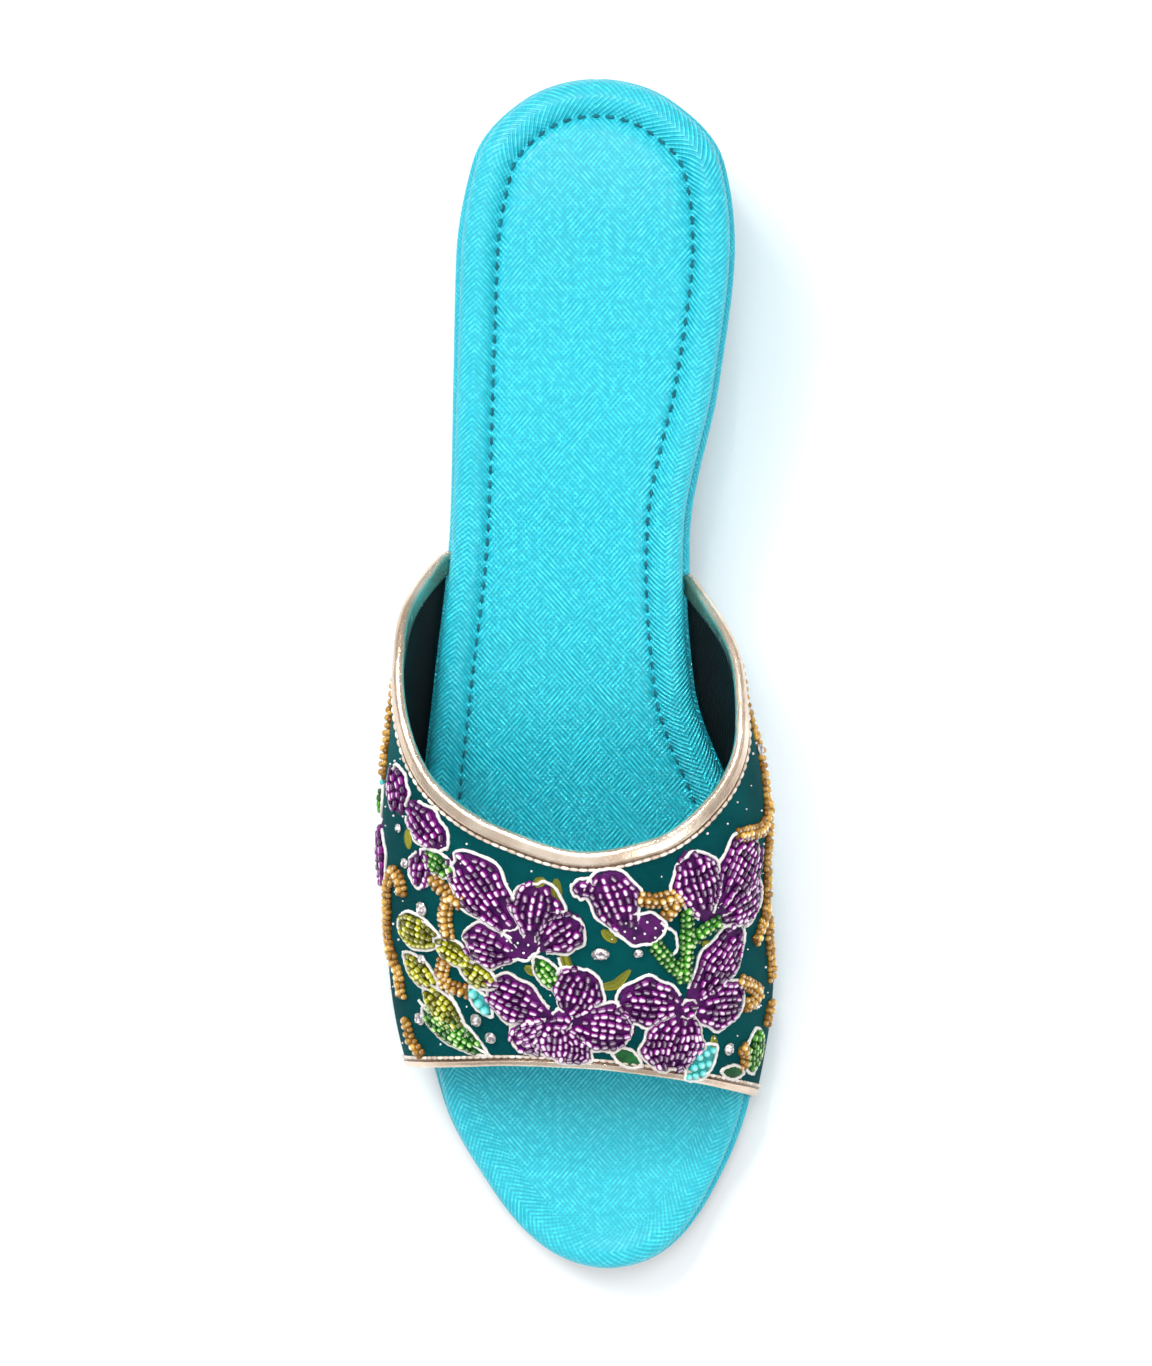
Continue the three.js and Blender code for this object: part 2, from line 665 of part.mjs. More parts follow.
// Chart rows to millimetres on the chart.
const onChart = ([degrees, percent]) =>
  new THREE.Vector3(THREE.MathUtils.degToRad(degrees) * chartRadius, (percent / 100) * footbedLength, 0);

const petalSteps = 8;
const petalBlunt = 0.75;

function petalSection({ root, tip, wide, widest, curl }) {
  const [start, end] = [onChart(root), onChart(tip)];
  const axis = end.clone().sub(start);
  const aside = new THREE.Vector3(-axis.y, axis.x, 0);
  const side = (sign) => (share) => {
    const swell = Math.sin(Math.PI * share ** (Math.log(0.5) / Math.log(widest)));
    const reach = sign * (wide / 2) * swell ** petalBlunt + 4 * curl * share * (1 - share);
    const { x, y } = start.clone().addScaledVector(axis, share).addScaledVector(aside, reach);
    return [x, y];
  };
  const shares = evenRows(petalSteps);
  const up = shares.slice(0, -1).map(side(1));
  const down = shares.slice(1).reverse().map(side(-1));
  return new wasm.CrossSection([[...up, ...down]], "NonZero");
}

function stemSection(stem, thickness) {
  const curve = new THREE.CatmullRomCurve3(stem.map(onChart), false, "centripetal");
  const points = curve.getPoints(stem.length * 2);
  const half = (thickness * stemWidth) / 2;
  const discs = points.map(({ x, y }) => wasm.CrossSection.circle(half, 8).translate(x, y));
  const hulls = discs.slice(1).map((disc, i) => wasm.CrossSection.hull([discs[i], disc]));
  return wasm.CrossSection.union(hulls).simplify(2 * facetTolerance);
}

// A chart section carried out from the chart's axis through the vamp, in steps short enough to stay radial.
function radialPrism(polygon) {
  const radii = [0.3, 0.6, 0.7, 0.8, 0.9, 1, 1.1, 1.2, 1.3, 1.4, 1.5, 1.8].map((share) => share * chartRadius);
  const points = radii.flatMap((radius) =>
    polygon.map(([x, along]) => {
      const y = heelEnd - along;
      const across = ballWidth * chartCentre + radius * Math.sin(x / chartRadius);
      return new THREE.Vector3(across, y, wedgeTop(y) + chartRise + radius * Math.cos(x / chartRadius));
    }),
  );
  const count = polygon.length;
  const last = count * (radii.length - 1);
  const faces = [];
  for (let ring = 0; ring < last; ring += count)
    for (let i = 0; i < count; i++) {
      const [a, b] = [ring + i, ring + ((i + 1) % count)];
      faces.push(a, count + b, b, a, count + a, count + b);
    }
  const contour = polygon.map(([x, y]) => new THREE.Vector2(x, y));
  THREE.ShapeUtils.triangulateShape(contour, []).forEach(([a, b, c]) => {
    faces.push(a, b, c);
    faces.push(last + a, last + c, last + b);
  });
  return toManifold(solidFrom(points, faces));
}

// Each motif is cut from the bead slab, clear of the motifs made before it.
function makeMotifs(slab) {
  let taken = null;
  return motifs.map(({ petals = [], stems = [], thickness = 1 }) => {
    const stemSections = stems.map((stem) => stemSection(stem, thickness));
    const parts = [...petals.map(petalSection), ...stemSections];
    let section = wasm.CrossSection.union(parts).simplify(2 * facetTolerance);
    if (taken) section = section.subtract(taken);
    const [polygon] = section.toPolygons().sort((a, b) => b.length - a.length);
    const grown = section.offset(seatGap, "Round", 2, 16);
    taken = taken ? taken.add(grown) : grown;
    return toGeometry(slab.intersect(radialPrism(polygon)).simplify(facetTolerance));
  });
}

const materials = {
  rubber: new THREE.MeshStandardMaterial({ color: 0x2a2422, roughness: 0.8, metalness: 0 }),
  turquoise: new THREE.MeshStandardMaterial({ color: 0x25c5dd, roughness: 0.45, metalness: 0 }),
  velvet: new THREE.MeshStandardMaterial({ color: 0x04504f, roughness: 0.9, metalness: 0 }),
  gold: new THREE.MeshStandardMaterial({ color: 0xcfae8c, roughness: 0.3, metalness: 0.8 }),
};

const shoe = new THREE.Group();

function add(name, geometry, material) {
  const mesh = new THREE.Mesh(geometry, material);
  mesh.name = name;
  shoe.add(mesh);
  return mesh;
}

add("outsole", makeOutsole(), materials.rubber);
add("wedge", makeWedge(), materials.turquoise);
add("footbed", makeFootbed(), materials.turquoise);
add("upper", makeUpper(), materials.velvet);

add("collar_binding", makeBinding(1, 1, collarLeg), materials.gold);
add("toe_binding", makeBinding(0, -1, toeLeg), materials.gold);

const beads = {
  purple: new THREE.MeshStandardMaterial({ color: 0x5a2670, roughness: 0.35, metalness: 0 }),
  olive: new THREE.MeshStandardMaterial({ color: 0x8a8a1e, roughness: 0.35, metalness: 0 }),
  green: new THREE.MeshStandardMaterial({ color: 0x3c8a2e, roughness: 0.35, metalness: 0 }),
  aqua: new THREE.MeshStandardMaterial({ color: 0x4cc7c4, roughness: 0.3, metalness: 0 }),
  amber: new THREE.MeshStandardMaterial({ color: 0xb8862f, roughness: 0.35, metalness: 0.3 }),
};
makeMotifs(makeBeadSlab()).forEach((geometry, i) => add(motifs[i].name, geometry, beads[motifs[i].beads]));

// The shoe stands with the middle of its bounding box's bottom on the origin.
const bounds = new THREE.Box3().setFromObject(shoe);
const centre = bounds.getCenter(new THREE.Vector3());
shoe.children.forEach((mesh) => mesh.geometry.translate(-centre.x, -centre.y, -bounds.min.z));

export default shoe;
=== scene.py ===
# %% [markdown]
# A beaded wedge mule
# The part is the right shoe of a pair of backless wedge mules: a padded turquoise footbed on a low covered
# wedge, and one wide velvet vamp worked all over with bead embroidery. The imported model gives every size.
# This lesson dresses it in leather, velvet, metallic binding, thread, cord, beads and crystals.

import math

import bmesh
import bpy
import numpy as np
from mathutils import Matrix, Vector


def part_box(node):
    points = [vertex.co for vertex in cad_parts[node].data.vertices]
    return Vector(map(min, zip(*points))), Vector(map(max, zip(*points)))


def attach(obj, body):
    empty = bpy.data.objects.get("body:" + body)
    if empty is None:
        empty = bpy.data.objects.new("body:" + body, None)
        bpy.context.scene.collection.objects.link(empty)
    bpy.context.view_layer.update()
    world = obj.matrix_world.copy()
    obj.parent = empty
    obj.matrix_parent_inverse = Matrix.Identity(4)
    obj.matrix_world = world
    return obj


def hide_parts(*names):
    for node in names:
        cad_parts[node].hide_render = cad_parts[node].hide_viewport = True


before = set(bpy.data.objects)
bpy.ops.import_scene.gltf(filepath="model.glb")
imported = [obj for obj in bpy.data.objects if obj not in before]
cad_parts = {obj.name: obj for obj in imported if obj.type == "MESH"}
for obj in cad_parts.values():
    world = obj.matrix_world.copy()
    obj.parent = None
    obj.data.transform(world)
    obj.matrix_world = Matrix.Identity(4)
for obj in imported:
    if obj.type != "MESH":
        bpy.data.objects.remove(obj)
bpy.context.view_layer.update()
bpy.context.scene.view_settings.view_transform = "Standard"
rng = np.random.default_rng(7)
print("frame loaded:", len(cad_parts), "nodes")

# %% [markdown]
# The shoe's own sizes come first, in millimetres. They repeat the driving sizes of the model, so that every
# stitch and bead can be placed by the same curves that shaped the solids.

# %% Sizes in millimetres
MM = 0.001
FOOTBED_LENGTH = 250
BALL_WIDTH = 72
HEEL_HEIGHT = 50
BALL_HEIGHT = 13.5
TOE_SPRING = 4
SOLE_SPRING = 5.5
ARCH_LIFT = 3
OUTSOLE_THICKNESS = 2.5
FOOTBED_THICKNESS = 6.6
RIM_WIDTH = 7.6
RIM_CROWN = 3
BOTTOM_TUCK = 0.8
WEDGE_LEDGE = 1.3
WEDGE_EDGE_RADIUS = 1.1
WEDGE_LEAN = 0.07
VAMP_WALL = 1.5
THROAT_RISE = 51.5
VAMP_STANDOFF = 1.5
BULGE = 5
SEAT_GAP = 0.3
CHART_RADIUS = 0.152 * FOOTBED_LENGTH
CHART_RISE = 7
CHART_CENTRE = -0.02

# Plan of the footbed: share of its length from the heel end, its middle and half width as shares of the
# ball's width, and the wedge's ledge on the outer and the inner side.
PLAN = [
    (0, 0, 0, 0.7, 0.7),
    (0.017, 0, 0.204, 0.8, 0.7),
    (0.067, 0.005, 0.349, 1.05, 0.75),
    (0.146, -0.004, 0.387, 1.1, 0.8),
    (0.25, -0.035, 0.371, 0.9, 0.85),
    (0.371, -0.089, 0.337, 0.7, 1),
    (0.5, -0.109, 0.374, 1.4, 1.6),
    (0.629, -0.058, 0.474, 1.6, 1.6),
    (0.75, -0.035, 0.5, 1.4, 1.5),
    (0.854, -0.028, 0.4466, 0.7, 1.1),
    (0.933, -0.009, 0.3225, 0.4, 0.9),
    (0.983, 0.007, 0.1775, 0.3, 0.6),
    (1, 0.017, 0, 0.3, 0.4),
]

# Side view: along, climb from ball to heel, toe spring, arch.
PROFILE = [
    (0, 1, 0, 0),
    (0.1, 0.975, 0, 0),
    (0.2, 0.91, 0, 0),
    (0.3, 0.8, 0, 0),
    (0.4, 0.64, 0, 0.7),
    (0.5, 0.45, 0, 1),
    (0.6, 0.25, 0, 0.5),
    (0.67, 0.12, 0, 0),
    (0.73, 0.03, 0, 0),
    (0.78, 0, 0, 0),
    (0.84, 0, 0.1, 0),
    (0.9, 0, 0.34, 0),
    (0.95, 0, 0.64, 0),
    (1, 0, 1, 0),
]

# Arch of the vamp: along, height of its top, swell of the outer and the inner side, place of its crest.
ARCH = [
    (0.36, 1.4, 2.3, 1, -0.058),
    (0.42, 1.25, 1.65, 1.4, -0.047),
    (0.48, 1.11, 1.1, 1.85, -0.037),
    (0.54, 1.01, 1.02, 1.65, -0.028),
    (0.6, 0.975, 1.03, 0.97, -0.02),
    (0.667, 0.96, 0.98, 0.4, -0.016),
    (0.75, 0.82, 0.85, 0.15, -0.013),
    (0.82, 0.68, 0.7, 0.08, -0.011),
    (0.88, 0.58, 0.45, 0.08, -0.01),
]

# Edges of the vamp: place round the arch from the outer foot to the inner foot, collar, front edge.
EDGES = [
    (0, 0.395, 0.822),
    (0.1, 0.453, 0.821),
    (0.2, 0.525, 0.819),
    (0.3, 0.586, 0.816),
    (0.4, 0.623, 0.813),
    (0.5, 0.642, 0.815),
    (0.6, 0.631, 0.821),
    (0.7, 0.592, 0.829),
    (0.8, 0.526, 0.838),
    (0.9, 0.462, 0.845),
    (1, 0.414, 0.85),
]

# %% [markdown]
# One column of such a table becomes a smooth curve. A Hermite spline whose slope is level wherever the
# numbers turn round never overshoots them, which keeps the outline as clean as a maker's pattern.

# %% Curves through a table


def curve_of(table, column, warp=lambda x: x):
    xs = warp(np.array([row[0] for row in table], float))
    ys = np.array([row[column] for row in table], float)
    slopes = np.diff(ys) / np.diff(xs)
    tangents = np.concatenate([slopes[:1], slopes[1:], slopes[-1:]])
    before, after = slopes[:-1], slopes[1:]
    total = np.where(before * after > 0, before + after, 1)
    tangents[1:-1] = np.where(before * after > 0, 2 * before * after / total, 0)
    low, high = table[0][0], table[-1][0]

    def value(at):
        x = warp(np.clip(np.asarray(at, float), low, high))
        i = np.clip(np.searchsorted(xs, x) - 1, 0, len(xs) - 2)
        width = xs[i + 1] - xs[i]
        u = (x - xs[i]) / width
        bend = u * (1 - u) * width * ((1 - u) * tangents[i] - u * tangents[i + 1])
        return ys[i] + (ys[i + 1] - ys[i]) * u * u * (3 - 2 * u) + bend

    return value


def sweep_angle(along):
    return np.arccos(np.clip(1 - 2 * along, -1, 1))


plan_centre, plan_half, ledge_outer, ledge_inner = (curve_of(PLAN, c, sweep_angle) for c in (1, 2, 3, 4))
side_rise, side_spring, side_arch = (curve_of(PROFILE, c) for c in (1, 2, 3))
arch_top, arch_outer, arch_inner, arch_crest = (curve_of(ARCH, c) for c in (1, 2, 3, 4))
edge_collar, edge_front = (curve_of(EDGES, c) for c in (1, 2))

# %% Heights and outline of the sole
HEEL_END = FOOTBED_LENGTH / 2


def rim_top(y):
    along = (HEEL_END - y) / FOOTBED_LENGTH
    return BALL_HEIGHT + (HEEL_HEIGHT - BALL_HEIGHT) * side_rise(along) + TOE_SPRING * side_spring(along)


def footbed_bottom(y):
    return rim_top(y) - FOOTBED_THICKNESS


def wedge_top(y):
    return footbed_bottom(y) - SEAT_GAP


def floor_side(y):
    along = (HEEL_END - y) / FOOTBED_LENGTH
    return ARCH_LIFT * side_arch(along) + SOLE_SPRING * side_spring(along)


def wedge_bottom(y):
    return floor_side(y) + OUTSOLE_THICKNESS + SEAT_GAP


def edge_point(turn):
    """The footbed's edge. Turn 0 is the heel end, 0 to 1 the inner side, 1 the toe, 1 to 2 the outer side."""
    wrapped = np.mod(turn, 2)
    inner = wrapped <= 1
    along = (1 - np.cos(np.pi * np.where(inner, wrapped, 2 - wrapped))) / 2
    x = BALL_WIDTH * (plan_centre(along) + plan_half(along) * np.where(inner, 1, -1))
    return x, HEEL_END - along * FOOTBED_LENGTH


def offset_edge(turn, outwards):
    """The same loop moved outwards, square to itself."""
    step = 0.004
    ahead_x, ahead_y = edge_point(turn + step)
    behind_x, behind_y = edge_point(turn - step)
    run_x, run_y = ahead_x - behind_x, ahead_y - behind_y
    length = np.hypot(run_x, run_y)
    x, y = edge_point(turn)
    return x - run_y / length * outwards, y + run_x / length * outwards


def ledge_at(turn):
    wrapped = np.mod(turn, 2)
    inner = wrapped <= 1
    along = (1 - np.cos(np.pi * np.where(inner, wrapped, 2 - wrapped))) / 2
    return WEDGE_LEDGE * np.where(inner, ledge_inner(along), ledge_outer(along))


# %% The vamp's own surface


def vamp_point(around, across, distance=0.0):
    """A point off the middle of the vamp's wall: across is 0 at the front edge and 1 at the collar."""
    around, across, distance = np.broadcast_arrays(
        np.asarray(around, float), np.asarray(across, float), np.asarray(distance, float)
    )

    def middle(around, across):
        along = edge_front(around) * (1 - across) + edge_collar(around) * across
        y = HEEL_END - along * FOOTBED_LENGTH
        outer = around < 0.5
        side = np.where(outer, -1.0, 1.0)
        crest = BALL_WIDTH * arch_crest(along)
        foot = BALL_WIDTH * (plan_centre(along) + side * plan_half(along)) + side * VAMP_STANDOFF
        to_foot = np.abs(foot - crest)
        reach = to_foot + BULGE * np.where(outer, arch_outer(along), arch_inner(along))
        tuck = np.arccos(to_foot / reach)
        radius = THROAT_RISE * arch_top(along) / (1 + np.sin(tuck))
        share = 2 * np.where(outer, around, 1 - around)
        angle = -tuck + share * (np.pi / 2 + tuck)
        z = wedge_top(y) + SEAT_GAP + radius * (np.sin(tuck) + np.sin(angle))
        return np.stack([crest + side * reach * np.cos(angle), y, z], -1)

    nudge = 1e-3
    low, high = np.clip(around - nudge, 0, 1), np.clip(around + nudge, 0, 1)
    over = middle(high, across) - middle(low, across)
    back = middle(around, across + nudge) - middle(around, across - nudge)
    normal = np.cross(over, back)
    feet = (around <= 0) | (around >= 1)
    normal[..., 2] = np.where(feet, 0, normal[..., 2])
    normal /= np.linalg.norm(normal, axis=-1, keepdims=True)
    return middle(around, across) + normal * distance[..., None]


# %% [markdown]
# The model stands with its bounding box on the origin, while the curves above start from the heel's axis.
# The footbed's own box gives the step between the two, so every piece lands where the solids are.

# %% Where the curves sit in the frame
box_low, box_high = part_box("footbed")
cad_turns = np.arange(56) / 28
cad_x, cad_y = edge_point(cad_turns)
SHIFT = np.array([box_low.x / MM - cad_x.min(), box_high.y / MM - cad_y.max(), 0])
print("curves moved by", SHIFT.round(3), "mm")


def placed(points):
    """Millimetres on the curves to metres in the frame."""
    return (np.asarray(points, float) + SHIFT) * MM


# %% [markdown]
# Shader maths reads best as plain arithmetic. This small class wraps a socket, so that 1 - mask or
# height * 0.4 adds its own Math node, and one method makes any other node.

# %% Materials as expressions


class Finish:
    """A material under construction. node() adds a node and gives back its first output as a Socket."""

    def __init__(self, name):
        self.material = bpy.data.materials.new(name)
        self.material.use_nodes = True
        self.tree = self.material.node_tree
        self.shader = self.tree.nodes["Principled BSDF"]

    def node(self, kind, inputs=None, output=0, **settings):
        made = self.tree.nodes.new(kind)
        stops = settings.pop("stops", None)
        for key, value in settings.items():
            setattr(made, key, value)
        if stops:
            ramp = made.color_ramp
            while len(ramp.elements) < len(stops):
                ramp.elements.new(0.5)
            for element, (place, colour) in zip(ramp.elements, stops):
                element.position = place
                element.color = (*colour, 1)
        for key, value in (inputs or {}).items():
            self.join(value, made.inputs[key])
        return Socket(self, made.outputs[output])

    def join(self, value, target):
        if isinstance(value, Socket):
            self.tree.links.new(value.output, target)
        elif isinstance(value, tuple) and len(value) == 3 and target.type == "RGBA":
            target.default_value = (*value, 1)
        else:
            target.default_value = value

    def mix(self, mask, first, second):
        inputs = {"Factor": mask, "A": first, "B": second}
        made = self.tree.nodes.new("ShaderNodeMix")
        made.data_type = "RGBA"
        for socket in made.inputs:
            if socket.enabled and socket.name in inputs:
                self.join(inputs[socket.name], socket)
        return Socket(self, next(s for s in made.outputs if s.enabled))

    def shade(self, **values):
        for key, value in values.items():
            self.join(value, self.shader.inputs[key.replace("_", " ")])
        return self.material

    def bump(self, height, distance, strength=1.0, under=None):
        inputs = {"Height": height, "Distance": distance, "Strength": strength}
        if under is not None:
            inputs["Normal"] = under
        return self.node("ShaderNodeBump", inputs)

    def noise(self, place, scale, detail=2.0, roughness=0.5, output=0):
        inputs = {"Vector": place, "Scale": scale, "Detail": detail, "Roughness": roughness}
        return self.node("ShaderNodeTexNoise", inputs, output)

    def place(self):
        return self.node("ShaderNodeTexCoord", output=3)

    def uv(self, name):
        return self.node("ShaderNodeUVMap", uv_map=name)

    def attribute(self, name):
        return self.node("ShaderNodeAttribute", output=2, attribute_name=name)


class Socket:
    """One output of a node, which adds Math nodes as it is used in arithmetic."""

    def __init__(self, finish, output):
        self.finish = finish
        self.output = output

    def math(self, operation, *others, first=None):
        made = self.finish.tree.nodes.new("ShaderNodeMath")
        made.operation = operation
        values = [self, *others] if first is None else [first, self]
        for value, target in zip(values, made.inputs):
            self.finish.join(value, target)
        return Socket(self.finish, made.outputs[0])

    def __add__(self, other):
        return self.math("ADD", other)

    def __radd__(self, other):
        return self.math("ADD", first=other)

    def __sub__(self, other):
        return self.math("SUBTRACT", other)

    def __rsub__(self, other):
        return self.math("SUBTRACT", first=other)

    def __mul__(self, other):
        return self.math("MULTIPLY", other)

    def __rmul__(self, other):
        return self.math("MULTIPLY", first=other)

    def __truediv__(self, other):
        return self.math("DIVIDE", other)

    def over(self, low, high):
        """0 below low, 1 above high and smooth between."""
        inputs = {"Value": self, "From Min": low, "From Max": high}
        return self.finish.node("ShaderNodeMapRange", inputs, interpolation_type="SMOOTHSTEP")

    def axis(self, name):
        return self.finish.node("ShaderNodeSeparateXYZ", {"Vector": self}, "XYZ".index(name))


# %% [markdown]
# The footbed is wrapped in leather embossed with a fine hatch: ridges 0.8 mm apart that run on one diagonal
# for a few millimetres and then on the other, and cross where the two meet. Two sine waves along the
# diagonals give the ridges, and a patchy mask says which of them stands out. They read the piece's own UV
# map, in metres. On the rolled rim the map folds at the roll's crest, so the ridges meet there in chevrons.
# There its X starts a metre further on, which tells the shader where the rim is.

# %% Turquoise leather
HATCH_PITCH = 0.00081
PATCHES_PER_METRE = 150


def turquoise_leather(name, hollow, ridge, relief):
    leather = Finish(name)
    surface = leather.uv("leather")
    wander = leather.noise(surface, 150, 2)
    across = surface.axis("X")
    along = surface.axis("Y")
    on_rim = across.over(0.5, 0.6)
    turn = 2 * math.pi / HATCH_PITCH
    first = (across * (turn * 0.75) + along * (turn * 0.66) + wander * 1.5).math("SINE").over(-0.7, 0.9)
    second = (across * (turn * 0.75) - along * (turn * 0.66) + wander * 1.5).math("SINE").over(-0.7, 0.9)
    patches = leather.noise(surface, PATCHES_PER_METRE, 1.5).over(0.25, 0.72)
    share = patches * (1 - on_rim) + on_rim * (0.6 + 0.4 * patches)
    ridges = (first * share + second * (1 - share)) * 1.25
    creases = leather.noise(surface, 110, 3)
    bump = leather.bump(ridges + creases * 0.5, relief)
    cloudy = leather.noise(leather.place(), 26, 3).over(0.3, 0.7)
    # Painted light and shade: the ridges are coloured lighter than the hollows, most strongly in small patches. This
    # stands in for light on the embossed ridges and shade in the hollows.
    wear_and_painted_light = leather.noise(surface, 700, 2).over(0.35, 0.75)
    colour = leather.mix(ridges * (0.35 + 0.65 * wear_and_painted_light), hollow, ridge)
    middle = tuple((a + b) / 2 for a, b in zip(hollow, ridge))
    colour = leather.mix(cloudy * 0.25, colour, middle)
    leather.shade(Base_Color=colour, Roughness=0.36 - ridges * 0.1, Normal=bump)
    leather.shade(Specular_IOR_Level=0.4, Coat_Weight=0.1, Coat_Roughness=0.15)
    return leather.material


LEATHER = turquoise_leather("turquoise_leather", (0.001, 0.44, 0.59), (0.085, 0.87, 0.97), 0.00024)
# The wedge's copy of the leather is darker than the footbed's: painted shade on the wedge's walls.
SHADED_WEDGE_LEATHER = turquoise_leather("turquoise_leather_wedge", (0.001, 0.42, 0.57), (0.06, 0.78, 0.89), 0.00018)

# %% [markdown]
# A form that follows a curve all the way round starts from bmesh's grid: its two directions become the
# turn round the shoe and the place on the section, each vertex is moved to where the curves say, and what
# meets is merged. This helper does that, and keeps the UV map that the leather and the cloth need.

# %% Grids laid on curves


def tidy_piece(name, bm, material, smooth=True):
    mesh = bpy.data.meshes.new(name)
    for face in bm.faces:
        face.smooth = smooth
    bm.to_mesh(mesh)
    bm.free()
    piece = bpy.data.objects.new(name, mesh)
    bpy.context.scene.collection.objects.link(piece)
    mesh.materials.append(material)
    return piece


def grid_piece(name, material, columns, rows, shape, layer="leather", closed=True):
    """shape(u, v) takes arrays of 0 to 1 and gives points in millimetres and a UV in metres."""
    bm = bmesh.new()
    bmesh.ops.create_grid(bm, x_segments=columns, y_segments=rows, size=0.5)
    bm.verts.ensure_lookup_table()
    flat = np.array([v.co[:2] for v in bm.verts]) + 0.5
    points, uv = shape(flat[:, 0], flat[:, 1])
    metres = placed(points)
    uv_layer = bm.loops.layers.uv.new(layer)
    for face in bm.faces:
        for loop in face.loops:
            loop[uv_layer].uv = uv[loop.vert.index]
    for vert, co in zip(bm.verts, metres):
        vert.co = co
    if closed:
        bmesh.ops.remove_doubles(bm, verts=bm.verts, dist=2e-6)
        bmesh.ops.recalc_face_normals(bm, faces=bm.faces)
    return tidy_piece(name, bm, material)

# %% [markdown]
# The footbed is a board with a foam pad, wrapped in leather and stitched through 7.6 mm inside its edge, so
# the rim swells into a soft roll and the middle stays flat. Cloth simulation would blur the sewn line, and
# the foam holds its shape, so the swelling is drawn directly: each ring of the grid is the footbed's outline
# moved inwards, at the height of the roll, the sewn valley or the panel.

# %% Round the footbed by length
STITCH_PITCH = 3.0
loop_turns = np.linspace(0, 2, 4001)


def loop_length(outwards):
    x, y = offset_edge(loop_turns, outwards)
    return np.concatenate([[0], np.cumsum(np.hypot(np.diff(x), np.diff(y)))])


groove_length = loop_length(-RIM_WIDTH)
STITCHES = int(round(groove_length[-1] / STITCH_PITCH))
print("stitches round the footbed:", STITCHES)


def turn_at(share):
    """The turn at a share of the sewn line's length, so that stitches are even."""
    return np.interp(share, groove_length / groove_length[-1], loop_turns)


def share_at(turn):
    return np.interp(turn, loop_turns, groove_length / groove_length[-1])


# %% The footbed's section, from under its middle, round the roll, to the middle of the panel
HALF_ROLL = RIM_WIDTH / 2
WIDEST = FOOTBED_THICKNESS - RIM_CROWN


def footbed_section():
    """Rows of outwards, height above the footbed's bottom, share of the way to the middle line, wrap."""
    rows = [(-BOTTOM_TUCK, 0.0, share, 0) for share in np.linspace(1, 0, 5)]
    rows.append((-BOTTOM_TUCK, 0.0, 0, 1))
    for angle in np.radians(np.linspace(-75, 150, 26)):
        height = WIDEST + (RIM_CROWN if angle > 0 else WIDEST) * math.sin(angle)
        tuck = 0.55 * BOTTOM_TUCK if angle < 0 else HALF_ROLL
        rows.append((tuck * (math.cos(angle) - 1), height, 0, 1))
    groove = FOOTBED_THICKNESS - 1.75
    rows.append((-RIM_WIDTH + 0.22, groove + 0.1, 0, 1))
    rows.append((-RIM_WIDTH, groove, 0, 1))
    rows.append((-RIM_WIDTH, groove, 0, 0))
    panel = FOOTBED_THICKNESS - 1
    for inwards, height in ((0.25, groove + 0.12), (0.6, panel - 0.22), (1.1, panel + 0.02), (1.9, panel + 0.2)):
        rows.append((-RIM_WIDTH - inwards, height, 0, 0))
    rows.append((-RIM_WIDTH - 3.2, panel + 0.3, 0, 0))
    rows.append((-RIM_WIDTH - 5, panel + 0.26, 0, 0))
    for share in np.linspace(0, 1, 15)[1:]:
        rows.append((-RIM_WIDTH - 5, panel + 0.26 - 0.2 * share, share, 0))
    return np.array(rows)


SECTION = footbed_section()
section_run = np.concatenate([[0], np.cumsum(np.hypot(np.diff(SECTION[:, 0]), np.diff(SECTION[:, 1])))])
CREST_RUN = section_run[np.argmax(SECTION[:, 1])]


def to_middle(x, y, share):
    """Moves a point towards the footbed's middle line, which stops short of both ends."""
    along = (HEEL_END - y) / FOOTBED_LENGTH
    middle_y = np.clip(y, -HEEL_END + 26, HEEL_END - 26)
    middle_x = BALL_WIDTH * plan_centre(along)
    return x + (middle_x - x) * share, y + (middle_y - y) * share


def soft_wave(x, y, size):
    """A slow unevenness of hand work, a few tenths of a millimetre when scaled."""
    return np.sin(x / size + 1.3 * np.sin(y / (1.7 * size))) * np.sin(y / size + 0.8 * np.sin(x / (1.3 * size)))


def sewn(y):
    """1 where the line of stitches shows, falling to 0 under the vamp: the toe is plain and softly crowned."""
    along = (HEEL_END - y) / FOOTBED_LENGTH
    ease = np.clip((0.79 - along) / 0.1, 0, 1)
    return ease * ease * (3 - 2 * ease)


def footbed_shape(u, v):
    turn = turn_at(u)
    row = np.rint(v * (len(SECTION) - 1)).astype(int)
    outwards, height, share, wrap = SECTION[row].T
    x, y = offset_edge(turn, outwards)
    x, y = to_middle(x, y, share)
    sewn_here = sewn(y)
    inside_crest = (outwards < -HALF_ROLL) & (height > WIDEST)
    height = np.where(inside_crest, height * sewn_here + FOOTBED_THICKNESS * (1 - sewn_here), height)
    from_groove = np.abs(outwards + RIM_WIDTH)
    on_top = (height > WIDEST) & (share < 0.01)
    stitch = np.cos(2 * np.pi * u * STITCHES)
    pull = -0.27 * (1 + stitch) * np.exp(-((from_groove / 1.3) ** 2)) * on_top * sewn_here
    slack = 0.1 * stitch * np.exp(-(((from_groove - 1.9) / 1.1) ** 2)) * on_top * sewn_here
    uneven = 0.16 * soft_wave(x, y, 7) * np.exp(-(((outwards + HALF_ROLL) / 2.6) ** 2)) * on_top
    z = footbed_bottom(y) + height + pull + slack + uneven
    from_crest = np.abs(section_run[row] - CREST_RUN)
    lapped = np.stack([share_at(turn) * groove_length[-1] + 1000, from_crest], -1)
    straight = np.stack([x, y], -1)
    uv = np.where((wrap > 0.5)[:, None], lapped, straight) * MM
    return np.stack([x, y, z], -1), uv


footbed = grid_piece("padded_footbed", LEATHER, 1080, len(SECTION) - 1, footbed_shape)
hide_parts("footbed")
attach(footbed, "root")
print("footbed faces:", len(footbed.data.polygons))

# %% [markdown]
# The wedge is a light core covered in the same leather, which stands out round the footbed as a narrow
# ledge. Its wall leans in a little towards the floor. The cover meets in a seam at the back of the heel.

# %% Covered wedge


